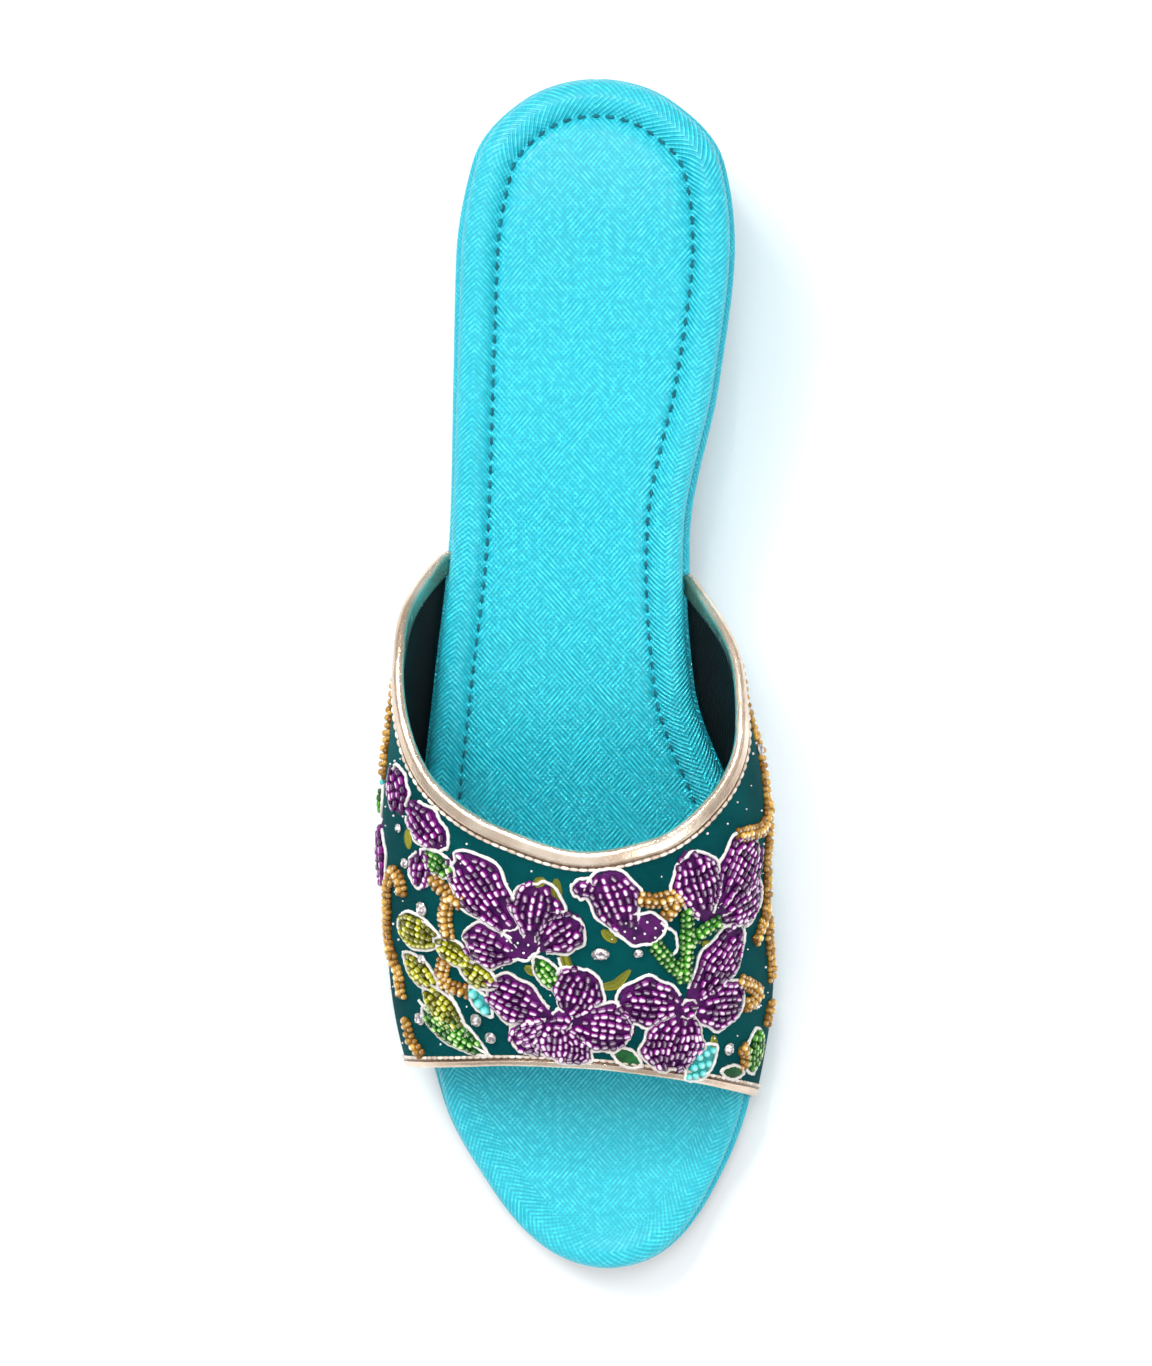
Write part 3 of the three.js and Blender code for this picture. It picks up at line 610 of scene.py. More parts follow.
def wall_line(turn, share, pull_in, drop):
    edge_x, edge_y = edge_point(turn)
    tall = wedge_top(edge_y) - wedge_bottom(edge_y)
    x, y = offset_edge(turn, ledge_at(turn) - pull_in - WEDGE_LEAN * tall * (1 - share))
    z = wedge_bottom(y) + (wedge_top(y) - wedge_bottom(y)) * share - drop
    return x, y, z, tall


WEDGE_FOOT = 0.6


def wedge_section():
    """Rows of height share, pull inwards, drop and share of the way to the middle line."""
    rows = [(0, 0.6, 0, share) for share in (1, 0.6, 0)]
    rows += [(0, 0.25, -0.12, 0), (0, 0, -WEDGE_FOOT, 0)]
    for share in np.linspace(0.06, 0.94, 22):
        rows.append((share, 0, WEDGE_EDGE_RADIUS * share - WEDGE_FOOT * (1 - share), 0))
    for angle in np.radians(np.linspace(0, 90, 8)):
        pull_in = WEDGE_EDGE_RADIUS * (1 - math.cos(angle))
        rows.append((1, pull_in, WEDGE_EDGE_RADIUS * (1 - math.sin(angle)), 0))
    return np.array(rows + [(1, 3, 0, 0), (1, 6, 0, 0), (1, 6, 0, 1)])


WEDGE_ROWS = wedge_section()


def wedge_shape(u, v):
    turn = turn_at(u)
    row = np.rint(v * (len(WEDGE_ROWS) - 1)).astype(int)
    share, pull_in, drop, inwards = WEDGE_ROWS[row].T
    x, y, z, tall = wall_line(turn, share, pull_in, drop)
    x, y = to_middle(x, y, inwards)
    flat = np.where(share > 0.5, wedge_top(y), wedge_bottom(y))
    z = np.where(inwards > 0, flat, z)
    seam_share = np.minimum(u, 1 - u) * groove_length[-1]
    seam = -0.12 * np.exp(-((seam_share / 0.5) ** 2)) * (inwards < 0.01)
    y = y + seam
    uv = np.stack([(u - 0.5) * groove_length[-1], share * tall + pull_in - drop], -1) * MM
    return np.stack([x, y, z], -1), uv


wedge = grid_piece("covered_wedge", SHADED_WEDGE_LEATHER, 720, len(WEDGE_ROWS) - 1, wedge_shape)
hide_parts("wedge")
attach(wedge, "root")
print("wedge faces:", len(wedge.data.polygons))

# %% [markdown]
# The outsole is thin dark rubber. Its solid from the model has the right shape, so it stays and gets a
# material: matt, with a fine pebbled bump and a little dust in scattered patches.

# %% Outsole rubber


def sole_rubber():
    rubber = Finish("sole_rubber")
    place = rubber.place()
    pebbles = rubber.noise(place, 900, 2)
    scuffs = rubber.noise(place, 60, 4).over(0.5, 0.75)
    colour = rubber.mix(scuffs * 0.5, (0.022, 0.018, 0.016), (0.06, 0.052, 0.046))
    rubber.shade(Base_Color=colour, Roughness=0.72 + scuffs * 0.15, Normal=rubber.bump(pebbles, 0.0002))
    return rubber.material


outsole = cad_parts["outsole"]
outsole.data.materials.clear()
outsole.data.materials.append(sole_rubber())

# %% [markdown]
# The vamp's ground is deep teal velvet. Its short pile scatters light backwards at grazing angles, which is
# what the sheen lobe does, and it shows darker and lighter where a hand has brushed it. The lining inside is
# a smooth near-black twill.

# %% Velvet and lining


def teal_velvet():
    velvet = Finish("teal_velvet")
    place = velvet.place()
    pile = velvet.noise(place, 4200, 2)
    brushed = velvet.noise(place, 55, 3, 0.6).over(0.32, 0.7)
    colour = velvet.mix(brushed, (0.0002, 0.042, 0.05), (0.0004, 0.07, 0.076))
    colour = velvet.mix(pile.over(0.3, 0.75) * 0.3, colour, (0.001, 0.11, 0.108))
    velvet.shade(Base_Color=colour, Roughness=0.82 - brushed * 0.08)
    velvet.shade(Normal=velvet.bump(pile + brushed * 0.6, 0.00012))
    velvet.shade(Sheen_Weight=0.03, Sheen_Roughness=0.35, Sheen_Tint=(0.2, 0.75, 0.7))
    velvet.shade(Specular_IOR_Level=0.04)
    return velvet.material


def dark_lining():
    lining = Finish("dark_lining")
    surface = lining.uv("cloth")
    twill = ((surface.axis("X") + surface.axis("Y")) * (2 * math.pi / 0.0007)).math("SINE")
    tone = lining.noise(lining.place(), 90, 3)
    colour = lining.mix(tone, (0.002, 0.005, 0.006), (0.006, 0.013, 0.015))
    lining.shade(Base_Color=colour, Roughness=0.7 - tone * 0.15, Normal=lining.bump(twill, 0.00008, 0.6))
    lining.shade(Specular_IOR_Level=0.2)
    return lining.material


# %% Vamp and its lining
VELVET_FACE = VAMP_WALL / 2 + 0.05
VELVET_THICKNESS = 0.6


def sheet_shape(distance):
    def shape(u, v):
        points = vamp_point(u, v, distance)
        uv = np.stack([u * 150, v * 60], -1) * MM
        return points, uv

    return shape


def thicken(piece, thickness, offset):
    solidify = piece.modifiers.new("thickness", "SOLIDIFY")
    solidify.thickness = thickness * MM
    solidify.offset = offset


velvet = grid_piece("velvet_vamp", teal_velvet(), 220, 96, sheet_shape(VELVET_FACE), "cloth", False)
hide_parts("upper")
lining = grid_piece("vamp_lining", dark_lining(), 180, 72, sheet_shape(-VAMP_WALL / 2), "cloth", False)
thicken(velvet, VELVET_THICKNESS, -1)
thicken(lining, 0.55, 1)
for piece in (velvet, lining):
    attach(piece, "root")
print("vamp rows:", len(velvet.data.polygons), "lining:", len(lining.data.polygons))

# %% [markdown]
# Both cut edges of the vamp are bound with a strip of champagne metallic leather, folded over and sewn. The
# section of the fold is a closed line, carried along the edge, and the two ends are cut level with the
# wedge by a plane.

# %% Champagne binding


def champagne_leather():
    foil = Finish("champagne_leather")
    surface = foil.uv("cloth")
    place = foil.place()
    wrinkles = foil.noise(surface, 420, 3, 0.55)
    cloudy = foil.noise(place, 70, 3).over(0.3, 0.72)
    pores = foil.noise(place, 2600, 2)
    colour = foil.mix(cloudy, (0.6, 0.45, 0.33), (0.89, 0.76, 0.62))
    share = surface.axis("Y") / (BINDING_RUN * MM)
    # Painted shade: a dark brown band along the stitched flange and the groove where it meets the roll.
    from_shaded_groove = (share - GROOVE_SHADE_SHARE).math("ABSOLUTE")
    colour = foil.mix(from_shaded_groove.over(0.02, 0.1), (0.2, 0.13, 0.085), colour)
    foil.shade(Base_Color=colour, Metallic=0.92 + cloudy * 0.05, Roughness=0.2 + wrinkles * 0.12)
    foil.shade(Normal=foil.bump(wrinkles + pores * 0.25, 0.00016), Coat_Weight=0.25, Coat_Roughness=0.2)
    return foil.material


BINDING = 0.5
FOLD_GAP = 0.3
BINDING_RUN = 14
GROOVE_SHADE_SHARE = 0.1
CHAMPAGNE = champagne_leather()


def binding_section(leg):
    """Closed line of offset outwards from the wall's middle and distance past the cut edge."""
    outer = 0.4 + FOLD_GAP + BINDING
    inner = 0.4 + FOLD_GAP
    flange = min(1.0, leg - 0.2)
    rows = [(outer - 0.34, -leg), (outer - 0.2, -leg + 0.1), (outer - 0.15, -leg + 0.3)]
    rows += [(outer - 0.17, -leg + flange - 0.25), (outer - 0.26, -leg + flange)]
    roll = leg - flange
    rows += [(outer - 0.2 + 0.34 * math.sin(math.pi * s), -roll * (1 - s)) for s in np.linspace(0.15, 0.6, 6)]
    for angle in np.radians(np.linspace(0, 180, 15)):
        rows.append((outer * math.cos(angle), 0.3 + outer * math.sin(angle)))
    rows += [(-outer, -leg * s) for s in (0.25, 0.5, 0.75, 0.96)]
    rows += [(-outer + 0.3, -leg), (-inner, -leg), (-inner, 0.2), (inner, 0.2), (inner, -leg)]
    rows.append(rows[0])
    return np.array(rows)


def edge_frame(around, edge, facing):
    """The cut edge of the vamp with its directions over the arch, outwards and away from the wall."""
    around = np.asarray(around, float)
    low, high = np.clip(around - 1e-3, 0, 1), np.clip(around + 1e-3, 0, 1)
    origin = vamp_point(around, edge)
    over = vamp_point(high, edge) - vamp_point(low, edge)
    over /= np.linalg.norm(over, axis=-1, keepdims=True)
    outwards = vamp_point(around, edge, 1.0) - origin
    outwards /= np.linalg.norm(outwards, axis=-1, keepdims=True)
    away = np.cross(outwards, over) * facing
    return origin, over, outwards, away


def binding_piece(name, node, edge, facing, leg):
    section = binding_section(leg)
    overrun = 4.0
    steps = 260

    def shape(u, v):
        place = u * 1.08 - 0.04
        around = np.clip(place, 0, 1)
        origin, over, outwards, away = edge_frame(around, edge, facing)
        row = np.rint(v * (len(section) - 1)).astype(int)
        out, past = section[row].T
        beyond = (place - around) / 0.04 * overrun
        pinch = 0.05 * np.sin(2 * np.pi * u * 64) * np.exp(-(((past + leg) / 0.9) ** 2)) * (out > 0)
        points = origin + over * beyond[:, None] + outwards * (out + pinch)[:, None] + away * past[:, None]
        uv = np.stack([u * 150, v * BINDING_RUN], -1) * MM
        return points, uv

    piece = grid_piece(name, CHAMPAGNE, steps, len(section) - 1, shape, "cloth")
    foot = vamp_point(np.array([0.0, 1.0]), edge)
    foot_y = foot[:, 1].mean()
    slope = float(wedge_top(foot_y + 1) - wedge_top(foot_y - 1)) / 2
    level = placed([foot[:, 0].mean(), foot_y, float(wedge_top(foot_y)) + SEAT_GAP])
    bm = bmesh.new()
    bm.from_mesh(piece.data)
    everything = bm.verts[:] + bm.edges[:] + bm.faces[:]
    cut = bmesh.ops.bisect_plane(
        bm, geom=everything, dist=1e-7, plane_co=level, plane_no=(0, -slope, 1), clear_inner=True
    )
    rim = [item for item in cut["geom_cut"] if isinstance(item, bmesh.types.BMEdge)]
    bmesh.ops.holes_fill(bm, edges=[edge for edge in rim if edge.is_boundary], sides=0)
    bm.to_mesh(piece.data)
    bm.free()
    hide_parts(node)
    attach(piece, "root")
    return piece


COLLAR_LEG = 2.7
TOE_LEG = 1.3
collar_binding = binding_piece("collar_binding_strip", "collar_binding", 1, 1, COLLAR_LEG)
toe_binding = binding_piece("toe_binding_strip", "toe_binding", 0, -1, TOE_LEG)
print("binding faces:", len(collar_binding.data.polygons), len(toe_binding.data.polygons))

# %% [markdown]
# Bead embroidery is drawn on a chart: degrees round the arch from its top, positive to the inner side, and
# percent of the footbed's length from the heel end. To sew a bead on, its place on the chart is followed
# out to the vamp's surface by halving the interval, for all beads at once.

# %% From the chart to the vamp


def chart(place):
    """A place of degrees and percent in millimetres on the chart."""
    degrees, percent = place
    return np.array([math.radians(degrees) * CHART_RADIUS, percent / 100 * FOOTBED_LENGTH])


def sewn_on(points, lift=0.0):
    """Chart points to points on the velvet, in millimetres, with the surface's normals."""
    points = np.atleast_2d(points)
    target = points[:, 0] / CHART_RADIUS
    along = points[:, 1] / FOOTBED_LENGTH
    low, high = np.zeros(len(points)), np.ones(len(points))
    for _ in range(26):
        around = (low + high) / 2
        front, collar = edge_front(around), edge_collar(around)
        across = (along - front) / (collar - front)
        x, y, z = vamp_point(around, across).T
        angle = np.arctan2(x - BALL_WIDTH * CHART_CENTRE, z - wedge_top(y) - CHART_RISE)
        low = np.where(angle < target, around, low)
        high = np.where(angle < target, high, around)
    base = vamp_point(around, across, VELVET_FACE)
    normals = vamp_point(around, across, VELVET_FACE + 1) - base
    normals /= np.linalg.norm(normals, axis=1, keepdims=True)
    return base + normals * np.reshape(lift, (-1, 1)), normals


# %% [markdown]
# Beads, stitches and cords number thousands, so each kind is made once with bmesh operators and laid out
# many times as arrays joined into one mesh. Two numbers go with every vertex: tone, which differs from bead to
# bead, and crown, which is 1 along a bead's top and marks where the bead glass lays a painted highlight.

# %% Laying out many small things


def template(make):
    bm = bmesh.new()
    make(bm)
    bm.verts.index_update()
    points = np.array([v.co[:] for v in bm.verts])
    faces = [[v.index for v in face.verts] for face in bm.faces]
    bm.free()
    return points, faces


def round_bead(bm):
    bmesh.ops.create_uvsphere(bm, u_segments=8, v_segments=6, radius=1)


def tube_bead(bm):
    """A short glass tube with rounded ends, along X."""
    bmesh.ops.create_uvsphere(bm, u_segments=8, v_segments=6, radius=1)
    bmesh.ops.rotate(bm, verts=bm.verts, cent=(0, 0, 0), matrix=Matrix.Rotation(math.pi / 2, 3, "Y"))
    for vert in bm.verts:
        x = vert.co.x
        across = math.hypot(vert.co.y, vert.co.z)
        fuller = (1 - abs(x) ** 5) ** 0.5 if abs(x) < 1 else 0
        if across > 1e-6:
            vert.co.y *= fuller / across
            vert.co.z *= fuller / across


ROUND_BEAD = template(round_bead)
TUBE_BEAD = template(tube_bead)


class Heap:
    """Many small things that become one mesh."""

    def __init__(self):
        self.points, self.faces, self.tones, self.highlight_masks = [], [], [], []
        self.count = 0
        self.things = 0

    def lay(self, shape, places, along, normals, size, tones, highlight_from=0.6):
        """Copies of a template: along and normals turn each one, size is its three half measures."""
        form, faces = shape
        along = along - normals * np.sum(along * normals, axis=1, keepdims=True)
        along /= np.linalg.norm(along, axis=1, keepdims=True)
        side = np.cross(normals, along)
        size = np.broadcast_to(np.asarray(size, float), (len(places), 3))
        axes = np.stack([along * size[:, :1], side * size[:, 1:2], normals * size[:, 2:]], 1)
        points = places[:, None, :] + np.einsum("pk,nkc->npc", form, axes)
        # crown is 1 along the top of each copy. The bead glass lays its painted highlight there.
        crown = np.clip((form[:, 2] - highlight_from) / (1 - highlight_from), 0, 1)
        self.points.append(points.reshape(-1, 3))
        self.tones.append(np.repeat(tones, len(form)))
        self.highlight_masks.append(np.tile(crown, len(places)))
        for n in range(len(places)):
            start = self.count + n * len(form)
            self.faces += [[start + i for i in face] for face in faces]
        self.count += len(form) * len(places)
        self.things += len(places)

    def cord(self, path, normals, radius, sides=7, twist=0.0, flat=1.0, tone=0.5, closed=False):
        """A tube along a path. twist is the pitch of a two-ply cord, whose section turns as it goes."""
        path, normals = np.asarray(path), np.asarray(normals)
        run = np.gradient(path, axis=0)
        if closed:
            run = (np.roll(path, -1, axis=0) - np.roll(path, 1, axis=0)) / 2
        run /= np.linalg.norm(run, axis=1, keepdims=True)
        side = np.cross(normals, run)
        side /= np.linalg.norm(side, axis=1, keepdims=True)
        up = np.cross(run, side)
        length = np.concatenate([[0], np.cumsum(np.linalg.norm(np.diff(path, axis=0), axis=1))])
        angle = np.arange(sides) / sides * 2 * np.pi
        ply = 0.22 * np.cos(2 * (angle[None] - np.pi * length[:, None] / twist)) if twist else 0
        reach = np.reshape(np.broadcast_to(radius, (len(path),)), (-1, 1)) * (1 + ply)
        points = (
            path[:, None]
            + side[:, None] * (reach * np.cos(angle))[..., None]
            + up[:, None] * (reach * np.sin(angle) * flat)[..., None]
        )
        rings = len(path)
        first = self.count

        def at(ring, turn):
            return first + (ring % rings) * sides + turn % sides

        for i in range(rings if closed else rings - 1):
            self.faces += [[at(i, j), at(i, j + 1), at(i + 1, j + 1), at(i + 1, j)] for j in range(sides)]
        if not closed:
            self.faces.append([at(0, j) for j in range(sides)][::-1])
            self.faces.append([at(rings - 1, j) for j in range(sides)])
        self.points.append(points.reshape(-1, 3))
        self.tones.append(np.full(rings * sides, tone))
        # A cord's top side gets the same painted-highlight mask.
        self.highlight_masks.append(np.tile(np.clip(np.sin(angle), 0, 1), rings))
        self.count += rings * sides

    def build(self, name, material, slot, smooth=True):
        mesh = bpy.data.meshes.new(name)
        mesh.from_pydata(placed(np.concatenate(self.points)).tolist(), [], self.faces)
        for key, values in (("tone", self.tones), ("crown", self.highlight_masks)):
            layer = mesh.attributes.new(key, "FLOAT", "POINT")
            layer.data.foreach_set("value", np.concatenate(values).astype(np.float32))
        if smooth:
            mesh.shade_smooth()
        mesh.materials.append(material)
        piece = bpy.data.objects.new(name, mesh)
        bpy.context.scene.collection.objects.link(piece)
        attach(piece, "root")
        return piece


def evenly(points, normals, pitch, start=0.5):
    """Places along a line of points, a pitch apart, with the line's direction and the normals there."""
    steps = np.linalg.norm(np.diff(points, axis=0), axis=1)
    run = np.concatenate([[0], np.cumsum(steps)])
    count = max(1, int(round(run[-1] / pitch)))
    at = (np.arange(count) + start) / count * run[-1]
    place = np.stack([np.interp(at, run, points[:, k]) for k in range(3)], 1)
    normal = np.stack([np.interp(at, run, normals[:, k]) for k in range(3)], 1)
    direction = np.gradient(points, axis=0)
    along = np.stack([np.interp(at, run, direction[:, k]) for k in range(3)], 1)
    return place, along, normal / np.linalg.norm(normal, axis=1, keepdims=True)


# %% [markdown]
# The seam round the footbed is sewn with a darker thread. Each stitch is a short plump cord that dives into
# its two holes, and the leather swells a little between one stitch and the next.

# %% Thread


def sewing_thread(name, dark, light, roughness=0.55):
    thread = Finish(name)
    tone = thread.attribute("tone")
    fibre = thread.noise(thread.place(), 5200, 2)
    colour = thread.mix((tone + fibre - 0.5).over(0, 1), dark, light)
    thread.shade(Base_Color=colour, Roughness=roughness + fibre * 0.2, Normal=thread.bump(fibre, 0.0001))
    return thread.material


footbed_stitches = Heap()
for index in range(STITCHES):
    half = 0.34 / STITCHES
    share = np.linspace(index / STITCHES - half, index / STITCHES + half, 7) % 1
    x, y = offset_edge(turn_at(share), -RIM_WIDTH)
    if sewn(y).min() < 0.9:
        continue
    dive = np.sin(np.linspace(0, np.pi, 7))
    z = footbed_bottom(y) + FOOTBED_THICKNESS - 1.75 - 0.42 + 0.5 * dive
    path = np.stack([x, y, z], 1)
    up = np.tile([0.0, 0.0, 1.0], (7, 1))
    footbed_stitches.cord(path, up, 0.3 * (0.55 + 0.45 * dive), 6, twist=0.9, tone=rng.uniform(0.2, 0.8))
TEAL_THREAD = sewing_thread("teal_thread", (0.0, 0.09, 0.13), (0.0, 0.17, 0.22))
seam = footbed_stitches.build("footbed_stitches", TEAL_THREAD, "turquoise_leather")
print("stitch faces:", len(seam.data.polygons))

# %% [markdown]
# Cream stitches hold the binding down, a long one on the face and a short gap, so the edge of the binding is
# pulled into small scallops between them.

# %% Stitches of the bindings


def binding_stitches(name, edge, facing, pitch, from_edge, lift):
    heap = Heap()
    around = np.linspace(0.015, 0.985, 600)
    origin, over, outwards, away = edge_frame(around, edge, facing)
    line = origin + outwards * lift - away * from_edge
    place, along, normal = evenly(line, outwards, pitch)
    along /= np.linalg.norm(along, axis=1, keepdims=True)
    for spot, run, up in zip(place, along, normal):
        share = np.linspace(-0.46, 0.46, 7)
        dive = np.cos(share / 0.46 * np.pi / 2) ** 0.6
        path = spot + np.outer(share * pitch, run) + np.outer(dive * 0.25 - 0.25, up)
        thickness = 0.36 * (0.55 + 0.45 * dive)
        heap.cord(path, np.tile(up, (7, 1)), thickness, 6, tone=rng.uniform(0, 1))
    return heap.build(name, CREAM_THREAD, "metallic_leather")


CREAM_THREAD = sewing_thread("cream_thread", (0.62, 0.5, 0.4), (0.93, 0.86, 0.77))
collar_stitches = binding_stitches("collar_stitches", 1, 1, 1.9, COLLAR_LEG - 0.45, 1.1)
toe_stitches = binding_stitches("toe_stitches", 0, -1, 1.6, TOE_LEG - 0.3, 1.08)
print("binding stitches:", len(collar_stitches.data.polygons), len(toe_stitches.data.polygons))

# %% [markdown]
# Glass beads: a coloured body under a clear glossy coat, with a painted highlight, a pale colour laid along
# each bead's top. Each bead has its own tone.

# %% Bead glass


def bead_glass(name, deep, mid, painted_highlight, metallic=0.0, roughness=0.16, painted_highlight_share=0.9):
    glass = Finish(name)
    tone = glass.attribute("tone")
    crown = glass.attribute("crown")
    body = glass.mix(tone.over(0.1, 0.9), deep, mid)
    # Painted highlight: the pale colour goes along each bead's crown, its top, and is stronger on beads of higher
    # tone.
    lit = (crown - 0.3 * (1 - tone)).over(0.2, 0.75) * (0.3 + 0.7 * tone) * painted_highlight_share
    colour = glass.mix(lit, body, painted_highlight)
    glass.shade(Base_Color=colour, Roughness=roughness + tone * 0.08, Metallic=metallic)
    glass.shade(Coat_Weight=0.4, Coat_Roughness=0.05, Specular_IOR_Level=0.3)
    return glass.material


PURPLE_GLASS = bead_glass("purple_glass", (0.05, 0.001, 0.06), (0.24, 0.008, 0.23), (1, 0.86, 0.98), 0, 0.14, 1)
OLIVE_GLASS = bead_glass("olive_glass", (0.09, 0.09, 0), (0.42, 0.4, 0.002), (1, 1, 0.45))
GREEN_GLASS = bead_glass("green_glass", (0.002, 0.07, 0.004), (0.06, 0.33, 0.012), (0.78, 1, 0.5))
AMBER_GLASS = bead_glass("amber_glass", (0.25, 0.1, 0.006), (0.7, 0.4, 0.07), (1, 0.94, 0.72), 0.15)
AQUA_PEARL = bead_glass("aqua_pearl", (0.04, 0.46, 0.45), (0.12, 0.66, 0.62), (0.75, 0.97, 0.95), 0, 0.25, 0.5)
CLEAR_GLASS = bead_glass("clear_glass", (0.55, 0.6, 0.6), (0.8, 0.84, 0.84), (1, 1, 1), 0.2)


# %% [markdown]
# Under its beads every petal and leaf is a small pad of satin, raised in the middle. A cream two-ply cord is
# couched round its edge. The edge is worked out from a root, a tip, a width and a ruffle.

# %% Petals and leaves on the chart


def satin(name, dark, light):
    cloth = Finish(name)
    place = cloth.place()
    threads = cloth.noise(place, 3800, 2)
    cloudy = cloth.noise(place, 420, 2)
    colour = cloth.mix(cloudy.over(0.3, 0.7), dark, light)
    cloth.shade(Base_Color=colour, Roughness=0.5 + threads * 0.2, Normal=cloth.bump(threads, 0.00012))
    cloth.shade(Specular_IOR_Level=0.25)
    return cloth.material


PURPLE_SATIN = satin("purple_satin", (0.035, 0.0, 0.06), (0.1, 0.003, 0.12))
OLIVE_SATIN = satin("olive_satin", (0.035, 0.045, 0.003), (0.1, 0.11, 0.006))
GREEN_SATIN = satin("green_satin", (0.003, 0.05, 0.012), (0.01, 0.13, 0.03))
AMBER_SATIN = satin("amber_satin", (0.12, 0.05, 0.004), (0.26, 0.12, 0.015))
AQUA_SATIN = satin("aqua_satin", (0.02, 0.25, 0.25), (0.05, 0.42, 0.4))


taken = []


class Petal:
    """A petal on the chart. share runs from its root to its tip, and side is -1 to 1 across it."""

    def __init__(self, root, tip, wide, widest, curl, blunt=0.8, ruffle=0.0):
        self.start = chart(root)
        self.axis = chart(tip) - self.start
        self.aside = np.array([-self.axis[1], self.axis[0]])
        self.length = np.linalg.norm(self.axis)
        self.wide, self.widest, self.curl = wide, widest, curl
        self.blunt, self.ruffle = blunt, ruffle
        self.phase = rng.uniform(0, 6)

    def half(self, share):
        swell = np.sin(np.pi * np.clip(share, 0, 1) ** (math.log(0.5) / math.log(self.widest)))
        power = np.where(share < self.widest, 0.72, self.blunt)
        return self.wide / 2 * np.clip(swell, 0, 1) ** power

    def at(self, share, side):
        share, side = np.broadcast_arrays(np.asarray(share, float), np.asarray(side, float))
        wave = 1 + self.ruffle * np.sin(share * 17 + self.phase + 2 * side) * np.abs(side)
        reach = side * self.half(share) * wave + 4 * self.curl * share * (1 - share)
        along = share + 0.6 * self.ruffle * np.sin(side * 7 + self.phase) * share**3
        return self.start + along[..., None] * self.axis + reach[..., None] * self.aside

    def edge(self, steps=30, first=0.0):
        share = first + (1 - first) * (1 - np.cos(np.linspace(0, np.pi, steps))) / 2
        return np.concatenate([self.at(share, 1.0), self.at(share[::-1][1:-1], -1.0)])


def pad(bm, petal, height, columns=14, rows=10):
    """The raised satin form under a petal's beads."""
    made = bmesh.ops.create_grid(bm, x_segments=columns, y_segments=rows, size=0.5)["verts"]
    flat = np.array([v.co[:2] for v in made]) + 0.5
    share = (1 - np.cos(flat[:, 0] * np.pi)) / 2
    side = np.sin((flat[:, 1] - 0.5) * np.pi)
    crown = np.sqrt(np.clip(1 - side**2, 0, 1)) * np.clip(np.sin(share * np.pi), 0, 1) ** 0.5
    places, _ = sewn_on(petal.at(share, side), height * crown - 0.1)
    for vert, co in zip(made, placed(places)):
        vert.co = co


def cord_round(heap, petal, radius, first=0.0):
    """The couched cord. A petal's cord starts a little way out, where it comes free of its neighbours."""
    places, normals = sewn_on(petal.edge(first=first), 0.3)
    whole = first == 0
    heap.cord(places, normals, radius, 7, twist=1.5, tone=rng.uniform(0.3, 0.9), closed=whole)


def bead_rows(heap, petal, pitch, row_gap, size, height, edge_gap=0.5, tilt=0.17):
    """Rows of tube beads that fan out from the root. Where they crowd, every other row gives way."""
    widest = petal.wide / 2 * petal.length - edge_gap
    rows = max(1, int(round(2 * widest / row_gap)))
    share = np.linspace(0.04, 0.975, 70)
    half = petal.half(share) * petal.length
    room = np.clip(half - edge_gap, 0.01, None)
    for row in range(rows):
        side = (row + 0.5) / rows * 2 - 1
        crowding = (0.36, 0.8, 0.52, 0.8)[row % 4]
        fits = 2 * room / rows >= row_gap * crowding
        if fits.sum() < 5:
            continue
        line = petal.at(share[fits], (side * room / half)[fits])
        crown = np.sqrt(1 - side**2) * np.sin(share[fits] * np.pi) ** 0.5
        places, normals = sewn_on(line, height * crown + size[2] * 0.6)
        place, along, normal = evenly(places, normals, pitch, start=rng.uniform(0.35, 0.65))
        along = along / np.linalg.norm(along, axis=1, keepdims=True)
        along = along + rng.normal(0, tilt, along.shape)
        vary = 1 + rng.normal(0, 0.1, (len(place), 3))
        heap.lay(TUBE_BEAD, place, along, normal, np.array(size) * vary, rng.uniform(0, 1, len(place)))
        taken.append(place)


def spaced_dots(heap, petal, height, gap=1.75, radius=0.27):
    """A smooth satin petal with single clear beads sewn on at even gaps."""
    across = max(2, int(petal.wide * petal.length / gap))
    down = max(2, int(petal.length / gap))
    for i in range(down):
        side = (np.arange(across) + 0.5 * (i % 2 + 0.5)) / across * 2 - 1
        share = np.full(across, (i + 0.6) / down)
        inside = np.abs(side) < 0.8
        side, share = side[inside], share[inside]
        crown = np.sqrt(1 - side**2) * np.sin(np.clip(share, 0, 1) * np.pi) ** 0.5
        places, normals = sewn_on(petal.at(share, side), height * crown + radius * 0.4)
        along = np.tile([1.0, 0.0, 0.0], (len(places), 1))
        heap.lay(ROUND_BEAD, places, along, normals, (radius, radius, radius), np.ones(len(places)), 0.2)
        taken.append(places)

# %% [markdown]
# The chart itself: each orchid has a few petals, each leaf one or two. A row is root, tip, width as a share
# of length, where it is widest, and how far its middle curls.

